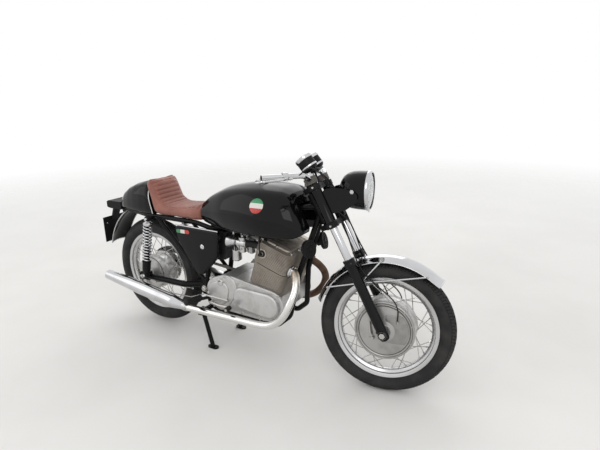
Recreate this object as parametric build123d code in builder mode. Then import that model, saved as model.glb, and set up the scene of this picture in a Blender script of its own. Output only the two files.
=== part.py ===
from build123d import *
import math
import os

os.makedirs("parts", exist_ok=True)

# Cafe racer motorcycle in millimetres: +X forward, +Y left, +Z up, floor at Z = 0.
# It is drawn with X = 0 at the rear axle and the fork straight ahead. save() turns the
# fork to its parked angle and moves everything to the middle of the machine's length.

# Driving dimensions
wheelbase = 1460
rear_overhang = 390
front_tyre_radius = 316
front_tyre_width = 94
rear_tyre_radius = 327
rear_tyre_width = 106
rear_lift = 12
rake = 28
fork_offset = 55
steering_at_rest = 12.5
running_gap = 6
seated_gap = 0.3

# Wheels
bead_radius = 228.6
rim_wall = 3
rim_flange_height = 14
rim_well_depth = 16
front_rim_inner_width = 58
rear_rim_inner_width = 66
tyre_wall = 9
axle_radius = 8.5
axle_fit = 0.1
spoke_radius = 1.8
nipple_radius = 3
nipple_length = 14
nipple_offset = 5
spokes_per_wheel = 36
spoke_lean = math.radians(26)
front_drum_radius = 134
front_drum_half_width = 48
rear_drum_radius = 98
sprocket_radius = 98
chain_y = 72

# Fork and steering, heights along the steering axis from the foot of the axle offset
leg_spacing = 190
stanchion_radius = 17.5
slider_radius = 24
slider_top = 372
shroud_radius = 25
shroud_wall = 3
lower_yoke_base = 528
upper_yoke_base = 716
yoke_height = 24
fork_top = 788
stem_radius = 14
head_tube_radius = 26
bearing_length = 14
bar_radius = 12.5
bar_bore_radius = 9.5
bar_bore_depth = 70
bar_tip = (-74, 298, 850)
lock_angle = 28

# Chassis, heights above the floor and distances ahead of the rear axle
pivot_x = 455
pivot_z = 345
tube_radius = 14
cradle_half_width = 100
cradle_z = 238
cradle_front_x = 985
seat_rail_z = 716
seat_rail_half_width = 98
seat_front_x = 460
seat_back_x = 112
seat_half_width = 122
arm_half_spacing = 120
arm_radius = 17
shock_half_spacing = 152
shock_top_x = 108
shock_top_z = 712
shock_foot_x = 40
spring_radius = 26
spring_wire_radius = 4.2
spring_turns = 13
stud_radius = 8

# Engine
cylinder_tilt = 18
cylinder_foot_x = 862
cylinder_foot_z = 432
barrel_length = 128
head_length = 120
cylinder_half_depth = 98
cylinder_half_width = 132
fin_thickness = 3
fin_pitch = 11
case_half_width = 140
cover_half_width = 174
crank_x = 850
crank_z = 352

# Tank, seat and tail
tank_half_width = 188
tank_wall = 3
guard_wall = 2
hump_back_x = -232

# Rear mudguard, whose arc has its own centre ahead of and above the axle
rear_guard_forward = 34
rear_guard_rise = 30
rear_guard_radius = 413
rear_guard_overlap = 16
rear_guard_start = 124
rear_guard_end = 164
rear_guard_drop = 18

# Exhaust and stand
pipe_radius = 19
pipe_y = 202
muffler_radius = 38
muffler_tip_radius = 29
stand_pivot_x = 430
stand_pivot_z = 205
stand_foot_x = 497
stand_half_width = 128
stand_leg_radius = 12

# What follows from them
rear_axle_z = rear_tyre_radius + rear_lift
rake_sin = math.sin(math.radians(rake))
rake_cos = math.cos(math.radians(rake))
turn_sin = math.sin(math.radians(steering_at_rest))
turn_cos = math.cos(math.radians(steering_at_rest))
front_crown_radius = front_tyre_width * 0.55
camber_cos = math.sqrt(1 - (turn_sin * rake_sin) ** 2)
front_axle_z = (
    front_crown_radius
    + (front_tyre_radius - front_crown_radius) * camber_cos
    + fork_offset * rake_sin * (1 - turn_cos)
)
rear_axle = Vector(0, 0, rear_axle_z)
front_axle = Vector(wheelbase, 0, front_axle_z)
steer = Plane(
    origin=(wheelbase - fork_offset * rake_cos, 0, front_axle_z - fork_offset * rake_sin),
    x_dir=(rake_cos, 0, rake_sin),
    z_dir=(-rake_sin, 0, rake_cos),
)
steering_axis = Axis(steer.origin, steer.z_dir)
length_middle = (wheelbase + front_tyre_radius - rear_overhang) / 2
to_middle = Pos(-length_middle, 0, 0)
head_tube_base = lower_yoke_base + yoke_height + running_gap
head_tube_length = upper_yoke_base - running_gap - head_tube_base


def save(part, label, body="chassis"):
    """Puts one finished piece in its parked place and writes it."""
    if body in ("steering", "front_wheel"):
        part = part.rotate(steering_axis, steering_at_rest)
    placed = to_middle * part
    placed.label = label
    export_step(placed, f"parts/{label}.step")


def on_fork(forward, left, up):
    """A point given along the fork's own three directions."""
    return steer.from_local_coords(Vector(forward, left, up))


def tube(points, radius, bends=0, bore=0):
    """A round bar or pipe through the points, its corners rounded to the radii in bends."""
    with BuildPart() as run:
        with BuildLine():
            if len(points) == 2:
                path = Line(*points)
            else:
                path = FilletPolyline(*points, radius=bends)
        with BuildSketch(Plane(origin=path @ 0, z_dir=path % 0)):
            Circle(radius)
            if bore:
                Circle(bore, mode=Mode.SUBTRACT)
        sweep()
    return run.part


def disc(centre, direction, radius, length):
    """A round boss from its centre point along a direction."""
    with BuildPart() as boss:
        with BuildSketch(Plane(origin=centre, z_dir=direction)):
            Circle(radius)
        extrude(amount=length)
    return boss.part


def lathe(foot, up, outline):
    """Revolves an outline of (distance out, distance along) points about an axis from its foot."""
    aside = Vector(0, 1, 0) if abs(up.Y) < 0.5 else Vector(1, 0, 0)
    with BuildPart() as body:
        with BuildSketch(Plane(origin=foot, x_dir=aside, z_dir=aside.cross(up))):
            with BuildLine():
                Polyline(*outline, close=True)
            make_face()
        revolve(axis=Axis(foot, up))
    return body.part


def both_sides(part):
    """A piece and its mirror image on the other side of the machine."""
    with BuildPart() as pair:
        add(part)
        mirror(about=Plane.XZ)
    return pair.part


def wheel_plane(axle):
    return Plane(origin=axle, x_dir=(1, 0, 0), z_dir=(0, 0, 1))


def turned(axle, outline):
    """Revolves an outline of (distance out from the axle, distance left) points."""
    with BuildPart() as ring:
        with BuildSketch(wheel_plane(axle)):
            with BuildLine():
                Polyline(*outline, close=True)
            make_face()
        revolve(axis=Axis(axle, (0, 1, 0)))
    return ring.part


def make_tyre(axle, outer_radius, width, rim_inner_width):
    """A tyre's horseshoe section: bead, sidewall and round crown, open towards the rim."""
    foot = bead_radius + seated_gap
    bead = rim_inner_width / 2 - rim_wall - seated_gap
    half = width / 2
    flange = bead_radius + rim_flange_height
    widest = (outer_radius + bead_radius) / 2
    shoulder = outer_radius - half * 0.42
    inner = half - tyre_wall
    with BuildPart() as tyre:
        with BuildSketch(wheel_plane(axle)):
            with BuildLine() as section:
                Line((foot, bead), (flange, bead))
                ThreePointArc((flange, bead), (widest, half), (shoulder, half * 0.82))
                ThreePointArc((shoulder, half * 0.82), (outer_radius, 0), (shoulder, -half * 0.82))
                ThreePointArc((shoulder, -half * 0.82), (widest, -half), (flange, -bead))
                Line((flange, -bead), (foot, -bead))
                Line((foot, -bead), (foot, -bead + tyre_wall))
                Line((foot, -bead + tyre_wall), (flange, -bead + tyre_wall))
                ThreePointArc(
                    (flange, -bead + tyre_wall),
                    (widest, -inner),
                    (shoulder - tyre_wall, -inner * 0.7),
                )
                ThreePointArc(
                    (shoulder - tyre_wall, -inner * 0.7),
                    (outer_radius - tyre_wall * 1.3, 0),
                    (shoulder - tyre_wall, inner * 0.7),
                )
                ThreePointArc(
                    (shoulder - tyre_wall, inner * 0.7), (widest, inner), (flange, bead - tyre_wall)
                )
                Line((flange, bead - tyre_wall), (foot, bead - tyre_wall))
                Line((foot, bead - tyre_wall), (foot, bead))
            make_face()
        revolve(axis=Axis(axle, (0, 1, 0)))
    return tyre.part


def make_rim(axle, inner_width):
    """A shouldered rim: two flanges, two bead seats and a drop well between them."""
    outside = inner_width / 2
    inside = outside - rim_wall
    tip = bead_radius + rim_flange_height
    well = bead_radius - rim_well_depth
    seat_edge = outside * 0.62
    well_edge = outside * 0.4
    upper = [
        (tip, outside),
        (tip, inside),
        (bead_radius, inside),
        (bead_radius, seat_edge),
        (well, well_edge),
    ]
    lower = [(well - rim_wall, well_edge), (bead_radius - rim_wall, seat_edge + rim_wall)]
    lower += [(bead_radius - rim_wall, outside)]
    outline = upper + [(r, -y) for r, y in reversed(upper)] + [(r, -y) for r, y in reversed(lower)] + lower
    return turned(axle, outline)


def make_spokes(axle, flange_radius, right_flange, left_flange):
    """Crossed spokes from the hub's two flanges to the rim's well, each ending in its nipple."""
    rim_reach = bead_radius - rim_well_depth - rim_wall - seated_gap
    spokes = []
    for index in range(spokes_per_wheel):
        flange = right_flange if index % 2 else left_flange
        lean = 1 if index % 4 < 2 else -1
        rim_angle = index * 2 * math.pi / spokes_per_wheel
        hub_angle = rim_angle + lean * spoke_lean
        side = math.copysign(nipple_offset, flange)
        start = axle + Vector(
            flange_radius * math.cos(hub_angle), flange, flange_radius * math.sin(hub_angle)
        )
        toward = axle + Vector(rim_reach * math.cos(rim_angle), side, rim_reach * math.sin(rim_angle))
        along = (toward - start).normalized()
        slope = along.dot(Vector(math.cos(rim_angle), 0, math.sin(rim_angle)))
        end = toward - along * (nipple_radius * math.sqrt(1 - slope**2) / slope)
        length = (end - start).length
        with BuildPart() as spoke:
            with BuildSketch(Plane(origin=start, z_dir=along)):
                Circle(spoke_radius)
            extrude(amount=length)
            with BuildSketch(Plane(origin=start + along * (length - nipple_length), z_dir=along)):
                Circle(nipple_radius)
            extrude(amount=nipple_length)
        spokes.append(spoke.part.solid())
    return Compound(spokes)


def slab(outline, right_y, left_y, corner=0):
    """A plate cut to an outline of (ahead, up) points, from one side place to another."""
    with BuildPart() as plate:
        with BuildSketch(Plane(origin=(0, left_y, 0), x_dir=(1, 0, 0), z_dir=(0, -1, 0))):
            with BuildLine():
                if corner:
                    FilletPolyline(*outline, radius=corner, close=True)
                else:
                    Polyline(*outline, close=True)
            make_face()
        extrude(amount=left_y - right_y)
    return plate.part


def outward_plane(side, distance):
    """A vertical plane facing out of one side; its local directions are ahead and up times side."""
    return Plane(origin=(0, side * distance, 0), x_dir=(1, 0, 0), z_dir=(0, side, 0))


def rounded_plate(side, distance, thickness, circles, taper=0):
    """A raised plate whose outline is the hull of (ahead, up, radius) circles."""
    with BuildPart() as plate:
        with BuildSketch(outward_plane(side, distance)):
            with BuildLine():
                for x, z, radius in circles:
                    CenterArc((x, -side * z), radius, 0, 360)
            make_hull()
        extrude(amount=thickness, taper=taper)
    return plate.part


def guard_strip(centre, radius, half_width, start_angle, end_angle, drop):
    """A crowned mudguard strip between two angles about a centre, its edges dropped inwards."""
    edge = radius - drop
    inner_half = half_width - guard_wall * 1.3
    start = math.radians(start_angle)
    outward = Vector(math.cos(start), 0, math.sin(start))
    with BuildPart() as strip:
        with BuildSketch(Plane(origin=centre, x_dir=outward, z_dir=outward.cross(Vector(0, 1, 0)))):
            with BuildLine():
                ThreePointArc((edge, -half_width), (radius, 0), (edge, half_width))
                Line((edge, half_width), (edge, inner_half))
                ThreePointArc((edge, inner_half), (radius - guard_wall, 0), (edge, -inner_half))
                Line((edge, -inner_half), (edge, -half_width))
            make_face()
        revolve(axis=Axis(centre, (0, -1, 0)), revolution_arc=end_angle - start_angle)
    return strip.part


# Front wheel
save(
    make_tyre(front_axle, front_tyre_radius, front_tyre_width, front_rim_inner_width),
    "front_tyre",
    "front_wheel",
)
save(make_rim(front_axle, front_rim_inner_width), "front_rim", "front_wheel")

front_flange_y = front_drum_half_width - 14
front_flange_radius = front_drum_radius + 9
save(
    make_spokes(front_axle, front_flange_radius + spoke_radius + seated_gap, -front_flange_y, front_flange_y),
    "front_spokes",
    "front_wheel",
)

# Twin-sided drum: a web carries the brake ring, and the ring carries the two spoke flanges
web = 8
ring_wall = 13
barrel_radius = 24
barrel_half = 38
front_hub_half = [
    (axle_radius + axle_fit, barrel_half),
    (barrel_radius, barrel_half),
    (barrel_radius + 4, web),
    (front_drum_radius - ring_wall, web),
    (front_drum_radius - ring_wall, front_drum_half_width),
    (front_drum_radius, front_drum_half_width),
    (front_drum_radius, front_flange_y + 3),
    (front_flange_radius, front_flange_y + 3),
    (front_flange_radius, front_flange_y - 3),
    (front_drum_radius - 3, front_flange_y - 6),
]
front_hub = turned(front_axle, front_hub_half + [(r, -y) for r, y in reversed(front_hub_half)])
save(front_hub, "front_hub", "front_wheel")

# Rear wheel
save(make_tyre(rear_axle, rear_tyre_radius, rear_tyre_width, rear_rim_inner_width), "rear_tyre")
save(make_rim(rear_axle, rear_rim_inner_width), "rear_rim")
rear_flange_y = 30
rear_flange_radius = rear_drum_radius + 9
save(
    make_spokes(rear_axle, rear_flange_radius + spoke_radius + seated_gap, -rear_flange_y, rear_flange_y),
    "rear_spokes",
)

# Drum open to the right, with the sprocket bolted on the left
sprocket_half_thickness = 3.5
rear_drum_right = -70
rear_hub_outline = [
    (axle_radius + axle_fit, rear_drum_right + 14),
    (barrel_radius, rear_drum_right + 14),
    (barrel_radius + 4, -web),
    (rear_drum_radius - ring_wall, -web),
    (rear_drum_radius - ring_wall, rear_drum_right),
    (rear_drum_radius, rear_drum_right),
    (rear_drum_radius, -rear_flange_y - 3),
    (rear_flange_radius, -rear_flange_y - 3),
    (rear_flange_radius, -rear_flange_y + 3),
    (rear_drum_radius - 3, -rear_flange_y + 6),
    (rear_drum_radius - 3, rear_flange_y - 6),
    (rear_flange_radius, rear_flange_y - 3),
    (rear_flange_radius, rear_flange_y + 3),
    (rear_drum_radius - 12, rear_flange_y + 6),
    (56, rear_flange_y + 22),
    (50, chain_y - sprocket_half_thickness),
    (axle_radius + axle_fit, chain_y - sprocket_half_thickness),
]
rear_hub = turned(rear_axle, rear_hub_outline)

sprocket_teeth = 40
tooth_depth = 6
with BuildPart() as rear_sprocket:
    with BuildSketch(
        Plane(origin=rear_axle + Vector(0, chain_y + sprocket_half_thickness, 0), z_dir=(0, -1, 0))
    ):
        Circle(sprocket_radius)
        Circle(axle_radius + axle_fit, mode=Mode.SUBTRACT)
        with PolarLocations(sprocket_radius, sprocket_teeth):
            Circle(tooth_depth * 0.72, mode=Mode.SUBTRACT)
        with PolarLocations(sprocket_radius * 0.68, 6):
            Circle(14, mode=Mode.SUBTRACT)
    extrude(amount=2 * sprocket_half_thickness - seated_gap)
save(Compound([rear_hub.solid(), rear_sprocket.part.solid()]), "rear_hub")

# Rear axle and its brake plate, which the swingarm holds
axle_reach = arm_half_spacing + arm_radius + 12
with BuildPart() as rear_axle_rod:
    with BuildSketch(Plane(origin=rear_axle - Vector(0, axle_reach, 0), z_dir=(0, 1, 0))):
        Circle(axle_radius)
    extrude(amount=2 * axle_reach)

plate_gap = running_gap
rear_plate_inner = rear_drum_right - plate_gap
rear_plate = [
    (axle_radius + axle_fit, rear_plate_inner + 8),
    (rear_drum_radius - ring_wall - plate_gap, rear_plate_inner + 8),
    (rear_drum_radius - ring_wall - plate_gap, rear_plate_inner),
    (rear_drum_radius, rear_plate_inner),
    (rear_drum_radius, rear_plate_inner - 5),
    (rear_drum_radius - 22, rear_plate_inner - 9),
    (34, rear_plate_inner - 13),
    (28, rear_plate_inner - 20),
    (axle_radius + axle_fit, rear_plate_inner - 20),
]
cam_reach = rear_drum_radius - 30
rear_cam = rear_axle + Vector(-cam_reach * 0.5, rear_plate_inner - 6, -cam_reach * 0.6)
cam_lever_length = 62
with BuildPart() as rear_brake_plate:
    add(turned(rear_axle, rear_plate))
    add(tube([rear_cam, rear_cam - Vector(0, 16, 0)], 9))
    cam_top = rear_cam - Vector(0, 13, 0)
    add(tube([cam_top, cam_top + Vector(18, 0, -cam_lever_length)], 5))
    add(tube([rear_cam, rear_cam - Vector(0, 20, 0)], 7))
save(rear_brake_plate.part, "rear_brake_plate")

# Front axle and its two brake plates, held between the fork legs
front_axle_reach = leg_spacing / 2 + slider_radius + 10
with BuildPart() as front_axle_rod:
    with BuildSketch(Plane(origin=front_axle - Vector(0, front_axle_reach, 0), z_dir=(0, 1, 0))):
        Circle(axle_radius)
    extrude(amount=2 * front_axle_reach)
save(front_axle_rod.part, "front_axle", "steering")

front_plate_inner = front_drum_half_width + plate_gap
front_plate_outline = [
    (axle_radius + axle_fit, barrel_half + plate_gap),
    (front_drum_radius - ring_wall - plate_gap, barrel_half + plate_gap),
    (front_drum_radius - ring_wall - plate_gap, front_plate_inner),
    (front_drum_radius + 4, front_plate_inner),
    (front_drum_radius + 4, front_plate_inner + 3),
    (front_drum_radius - 4, front_plate_inner + 6),
    (front_drum_radius - 12, front_plate_inner + 6),
    (front_drum_radius - 16, front_plate_inner + 3),
    (60, front_plate_inner + 7),
    (34, front_plate_inner + 10),
    (30, leg_spacing / 2 - slider_radius - seated_gap),
    (axle_radius + axle_fit, leg_spacing / 2 - slider_radius - seated_gap),
]
# A raised housing ahead of the leg carries the two brake cams of each plate
housing_face = leg_spacing / 2 - slider_radius - seated_gap - 1
housing_circles = ((34, 52, 30), (76, 14, 30), (62, -28, 24))
cam_spots = ((34, 60), (76, -16))
cam_radius = 9
cam_length = 26
cam_lever_half = 34
with BuildPart() as front_brake_plate:
    add(turned(front_axle, front_plate_outline))
    with BuildSketch(wheel_plane(front_axle).rotated((90, 0, 0)).offset(-front_plate_inner)):
        with BuildLine():
            for x, z, radius in housing_circles:
                CenterArc((x, z), radius, 0, 360)
        make_hull()
    extrude(amount=front_plate_inner - housing_face, taper=8)
    for x, z in cam_spots:
        cam = front_axle + Vector(x, front_plate_inner, z)
        add(disc(cam, (0, 1, 0), cam_radius, cam_length))
        lever_low = cam + Vector(cam_lever_half * 0.5, cam_length - 6, -cam_lever_half * 0.4)
        add(tube([cam + Vector(0, cam_length - 6, 0), lever_low + Vector(10, 0, -10)], 5))
save(both_sides(front_brake_plate.part), "front_brake_plates", "steering")

# Fork legs
leg_y = leg_spacing / 2
stanchion_foot = slider_top - 60
with BuildPart() as fork_tubes:
    with BuildSketch(steer.offset(stanchion_foot + seated_gap)):
        with Locations((fork_offset, leg_y), (fork_offset, -leg_y)):
            Circle(stanchion_radius)
    extrude(amount=fork_top - stanchion_foot)
save(fork_tubes.part, "fork_tubes", "steering")

# (radius, height) of a slider from its rounded foot to the dust collar round the stanchion
slider_outline = [
    (0, -33),
    (11, -33),
    (19, -29),
    (slider_radius - 0.5, -20),
    (slider_radius, 30),
    (slider_radius, slider_top - 40),
    (slider_radius + 3, slider_top - 35),
    (slider_radius + 4, slider_top - 31),
    (slider_radius + 4, slider_top - 20),
    (slider_radius + 2.5, slider_top - 17),
    (slider_radius + 2.5, slider_top - 14),
    (slider_radius + 4, slider_top - 11),
    (slider_radius + 4, slider_top - 4),
    (slider_radius + 1, slider_top - 0.5),
    (stanchion_radius + axle_fit, slider_top),
    (stanchion_radius + axle_fit, stanchion_foot),
    (0, stanchion_foot),
]
with BuildPart() as fork_sliders:
    for side in (1, -1):
        add(lathe(on_fork(fork_offset, side * leg_y, 0), steer.z_dir, slider_outline))
    with BuildSketch(Plane(origin=front_axle - Vector(0, leg_y + slider_radius, 0), z_dir=(0, 1, 0))):
        Circle(axle_radius + axle_fit)
    extrude(amount=2 * (leg_y + slider_radius), mode=Mode.SUBTRACT)
save(fork_sliders.part, "fork_sliders", "steering")

# Yokes, with the stem that turns in the head tube
yoke_radius = 30
with BuildPart() as yokes:
    for base in (lower_yoke_base, upper_yoke_base):
        with BuildSketch(steer.offset(base)):
            with BuildLine():
                Polyline(
                    (-yoke_radius, 20),
                    (fork_offset + 8, leg_y + yoke_radius - 8),
                    (fork_offset + 8, -leg_y - yoke_radius + 8),
                    (-yoke_radius, -20),
                    close=True,
                )
            make_face()
            with Locations((fork_offset, leg_y), (fork_offset, -leg_y)):
                Circle(yoke_radius)
            Circle(yoke_radius)
            with Locations((fork_offset, leg_y), (fork_offset, -leg_y)):
                Circle(stanchion_radius + seated_gap, mode=Mode.SUBTRACT)
        extrude(amount=yoke_height)
    with BuildSketch(steer.offset(lower_yoke_base)):
        Circle(stem_radius)
    extrude(amount=upper_yoke_base + yoke_height + 14 - lower_yoke_base)
save(yokes.part, "yokes", "steering")

# Shrouds round the stanchions between the yokes, with the headlamp's two ears
shroud_base = lower_yoke_base + yoke_height + seated_gap
shroud_length = upper_yoke_base - seated_gap - shroud_base
lamp_centre = on_fork(200, 0, 638)
lamp_radius = 90
ear_inner = lamp_radius + 4
ear_thickness = 4
lamp_bolt = steer.to_local_coords(lamp_centre)
with BuildPart() as headlamp_ears:
    with BuildSketch(steer.offset(shroud_base)):
        with Locations((fork_offset, leg_y), (fork_offset, -leg_y)):
            Circle(shroud_radius)
            Circle(stanchion_radius + seated_gap, mode=Mode.SUBTRACT)
    extrude(amount=shroud_length)
    for side in (1, -1):
        with BuildSketch(
            Plane(origin=on_fork(0, side * ear_inner, 0), x_dir=steer.x_dir, z_dir=(0, -1, 0))
        ):
            with BuildLine():
                Polyline(
                    (fork_offset, shroud_base + 34),
                    (lamp_bolt.X + 12, lamp_bolt.Z - 22),
                    (lamp_bolt.X + 16, lamp_bolt.Z + 14),
                    (lamp_bolt.X - 20, lamp_bolt.Z + 34),
                    (fork_offset, shroud_base + 132),
                    close=True,
                )
            make_face()
        extrude(amount=-side * ear_thickness)
    with BuildSketch(steer.offset(shroud_base)):
        with Locations((fork_offset, leg_y), (fork_offset, -leg_y)):
            Circle(stanchion_radius + seated_gap)
    extrude(amount=shroud_length, mode=Mode.SUBTRACT)
save(headlamp_ears.part, "headlamp_ears", "steering")

# Headlamp: deep bowl, rim and glass
bowl_depth = 128
bowl_back = lamp_centre.X - 74
rim_x = bowl_back + bowl_depth
rim_depth = 16
glass_bulge = 14
lamp_axis = Axis((0, 0, lamp_centre.Z), (1, 0, 0))
lamp_side = Plane(origin=(0, 0, lamp_centre.Z), x_dir=(1, 0, 0), z_dir=(0, -1, 0))
with BuildPart() as headlamp_shell:
    with BuildSketch(lamp_side):
        with BuildLine():
            Line((bowl_back, 0), (bowl_back, 30))
            ThreePointArc((bowl_back, 30), (bowl_back + 22, 68), (rim_x - 45, lamp_radius - 3))
            Line((rim_x - 45, lamp_radius - 3), (rim_x - seated_gap, lamp_radius - 1))
            Line((rim_x - seated_gap, lamp_radius - 1), (rim_x - seated_gap, lamp_radius - 4))
            Line((rim_x - seated_gap, lamp_radius - 4), (rim_x - 45, lamp_radius - 6))
            ThreePointArc((rim_x - 45, lamp_radius - 6), (bowl_back + 25, 65), (bowl_back + 3, 28))
            Line((bowl_back + 3, 28), (bowl_back + 3, 0))
            Line((bowl_back + 3, 0), (bowl_back, 0))
        make_face()
    revolve(axis=lamp_axis)
    for side in (1, -1):
        with BuildSketch(
            Plane(origin=lamp_centre + Vector(0, side * (lamp_radius - 5), 0), z_dir=(0, side, 0))
        ):
            Circle(9)
        extrude(amount=ear_inner - lamp_radius + 5 - seated_gap)
save(headlamp_shell.part, "headlamp_shell", "steering")

with BuildPart() as headlamp_rim:
    with BuildSketch(lamp_side):
        with BuildLine():
            Polyline(
                (rim_x, lamp_radius - 6),
                (rim_x, lamp_radius + 2),
                (rim_x + 6, lamp_radius + 3),
                (rim_x + rim_depth, lamp_radius - 4),
                (rim_x + rim_depth, lamp_radius - 9),
                (rim_x + 8, lamp_radius - 6),
                close=True,
            )
        make_face()
    revolve(axis=lamp_axis)
save(headlamp_rim.part, "headlamp_rim", "steering")

glass_radius = lamp_radius - 7
glass_sphere = (glass_radius**2 + glass_bulge**2) / (2 * glass_bulge)
glass_edge = 6
glass_sagitta = glass_sphere - math.sqrt(glass_sphere**2 - glass_radius**2 / 4)
with BuildPart() as headlamp_lens:
    with BuildSketch(lamp_side):
        with BuildLine():
            Polyline(
                (rim_x + glass_edge + glass_bulge, 0),
                (rim_x, 0),
                (rim_x, glass_radius),
                (rim_x + glass_edge, glass_radius),
            )
            ThreePointArc(
                (rim_x + glass_edge, glass_radius),
                (rim_x + glass_edge + glass_bulge - glass_sagitta, glass_radius / 2),
                (rim_x + glass_edge + glass_bulge, 0),
            )
        make_face()
    revolve(axis=lamp_axis)
save(headlamp_lens.part, "headlamp_lens", "steering")

# Two instruments on the upper yoke, leaning back towards the rider
dial_tilt = 40
dial_radius = 41
dial_height = 72
dial_half_spacing = 50
dial_foot_height = 804
post_forward = 46
post_y = 22
dial_foot = on_fork(62, 0, dial_foot_height)
dial_up = Vector(-math.sin(math.radians(dial_tilt)), 0, math.cos(math.radians(dial_tilt)))
dial_plane = Plane(origin=dial_foot, x_dir=(0, 1, 0), z_dir=dial_up)
# (radius, height) of a cup, its bezel and the face sunk in it
dial_outline = [
    (0, -4),
    (12, -4),
    (dial_radius - 11, 4),
    (dial_radius - 5, 9),
    (dial_radius - 1, 16),
    (dial_radius - 1, dial_height - 18),
    (dial_radius + 1, dial_height - 14),
    (dial_radius + 1, dial_height - 2),
    (dial_radius - 2, dial_height),
    (dial_radius - 5, dial_height),
    (dial_radius - 5, dial_height - 6),
    (0, dial_height - 6),
]
with BuildPart() as instruments:
    for side in (1, -1):
        add(lathe(dial_foot + Vector(0, side * dial_half_spacing, 0), dial_up, dial_outline))
    with BuildSketch(dial_plane.offset(-5)):
        Rectangle(2 * dial_half_spacing + 40, 46)
    extrude(amount=5)
    with BuildSketch(steer.offset(upper_yoke_base + yoke_height + seated_gap)):
        with Locations((post_forward, post_y), (post_forward, -post_y)):
            Circle(5)
    extrude(amount=dial_foot_height - upper_yoke_base - yoke_height - 5)
save(instruments.part, "instruments", "steering")

# Low bars clamped round the stanchions above the upper yoke
clamp_base = upper_yoke_base + yoke_height + 4
clamp_height = 34
tip = Vector(*bar_tip)
with BuildPart() as handlebars:
    with BuildSketch(steer.offset(clamp_base)):
        with Locations((fork_offset, leg_y), (fork_offset, -leg_y)):
            Circle(stanchion_radius + 8)
    extrude(amount=clamp_height)
    bend = Vector(fork_offset - 2, leg_y + 74, clamp_base + clamp_height + 14)
    root = Vector(fork_offset, leg_y + 6, clamp_base + clamp_height / 2)
    for side in (1, -1):
        points = [on_fork(p.X, side * p.Y, p.Z) for p in (root, bend, tip)]
        add(tube(points, bar_radius, bends=40))
        inward = (points[1] - points[2]).normalized()
        add(disc(points[2], inward, bar_bore_radius, bar_bore_depth), mode=Mode.SUBTRACT)
    with BuildSketch(steer.offset(clamp_base - clamp_height)):
        with Locations((fork_offset, leg_y), (fork_offset, -leg_y)):
            Circle(stanchion_radius + seated_gap)
    extrude(amount=3 * clamp_height, mode=Mode.SUBTRACT)
save(handlebars.part, "handlebars", "steering")

# Brake and clutch levers on their perches, in front of and below the bars
perch_share = 0.38
lever_reach = 34
with BuildPart() as levers:
    for side in (1, -1):
        inner = on_fork(bend.X, side * bend.Y, bend.Z)
        outer = on_fork(tip.X, side * tip.Y, tip.Z)
        along = (outer - inner).normalized()
        perch = inner + (outer - inner) * perch_share
        forward = Vector(0, 0, -1).cross(along) * side
        forward = forward.normalized()
        collar = disc(perch, along, bar_radius + 6, 24)
        add(collar)
        knuckle = perch + along * 12 + forward * (bar_radius + 8) - Vector(0, 0, 8)
        lever_root = knuckle - along * 6
        lever_bend = knuckle + along * 26 + forward * lever_reach * 0.6
        lever_tip = outer + along * 4 + forward * (lever_reach + 10) - Vector(0, 0, 12)
        add(tube([lever_root, lever_bend, lever_tip], 5, bends=12))
        add(tube([perch + along * 12 + forward * bar_radius * 0.6, knuckle], 8))
        with BuildSketch(Plane(origin=inner, z_dir=along)):
            Circle(bar_radius + seated_gap)
        extrude(amount=(outer - inner).length, mode=Mode.SUBTRACT)
save(levers.part, "levers", "steering")

# Front mudguard: a crowned strip over the tyre, from behind the fork to its flared tip
guard_gap = 30
guard_radius = front_tyre_radius + guard_gap
guard_half_width = front_tyre_width / 2 + 10
guard_rear_angle = 163
guard_front_angle = 46
front_guard_drop = 26
stay_radius = 4
guard_bolt_angles = (58, 96, 148)
with BuildPart() as front_mudguard:
    add(
        guard_strip(
            front_axle,
            guard_radius,
            guard_half_width,
            guard_front_angle,
            guard_rear_angle,
            front_guard_drop,
        )
    )
    stay_y = guard_half_width - 1
    stay_foot = on_fork(fork_offset - 6, leg_y - slider_radius + 1, 246)
    for angle in guard_bolt_angles:
        direction = Vector(math.cos(math.radians(angle)), 0, math.sin(math.radians(angle)))
        edge = front_axle + direction * (guard_radius - front_guard_drop + 5)
        for side in (1, -1):
            high = Vector(edge.X, side * stay_y, edge.Z)
            low = Vector(stay_foot.X, side * (leg_y - slider_radius - stay_radius - seated_gap), stay_foot.Z)
            add(tube([high, low], stay_radius))
save(front_mudguard.part, "front_mudguard", "steering")

# Frame: head tube, two top tubes, two cradle loops, seat rails and struts
head_base = on_fork(0, 0, head_tube_base)
head_top = on_fork(0, 0, head_tube_base + head_tube_length)
head_low = on_fork(-8, 0, head_tube_base + 44)
head_high = on_fork(-8, 0, head_tube_base + head_tube_length - 62)
top_tube_y = 42
downtube_y = 46
under_tank_z = 698
rail_radius = tube_radius - 1
cross_tube_radius = 11
rear_guard_centre = Vector(rear_guard_forward, 0, rear_axle_z + rear_guard_rise)
guard_start = math.radians(rear_guard_start)
guard_edge = rear_guard_centre + Vector(math.cos(guard_start), 0, math.sin(guard_start)) * rear_guard_radius
loop_bar = guard_edge + Vector(math.sin(guard_start), 0, -math.cos(guard_start)) * (
    cross_tube_radius + seated_gap
)
loop_half_width = 44
case_floor = cradle_z + 24
engine_lug_x = (880, 600)
engine_lug_y = 50
top_tube_bend = head_high - Vector(120, 0, 14)
tank_rubber_share = 0.8
tunnel_half_width = top_tube_y + tube_radius + 8
cradle_rear_x = pivot_x + 30
cradle_bend = 70
stand_reach = stand_half_width + 16
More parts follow.
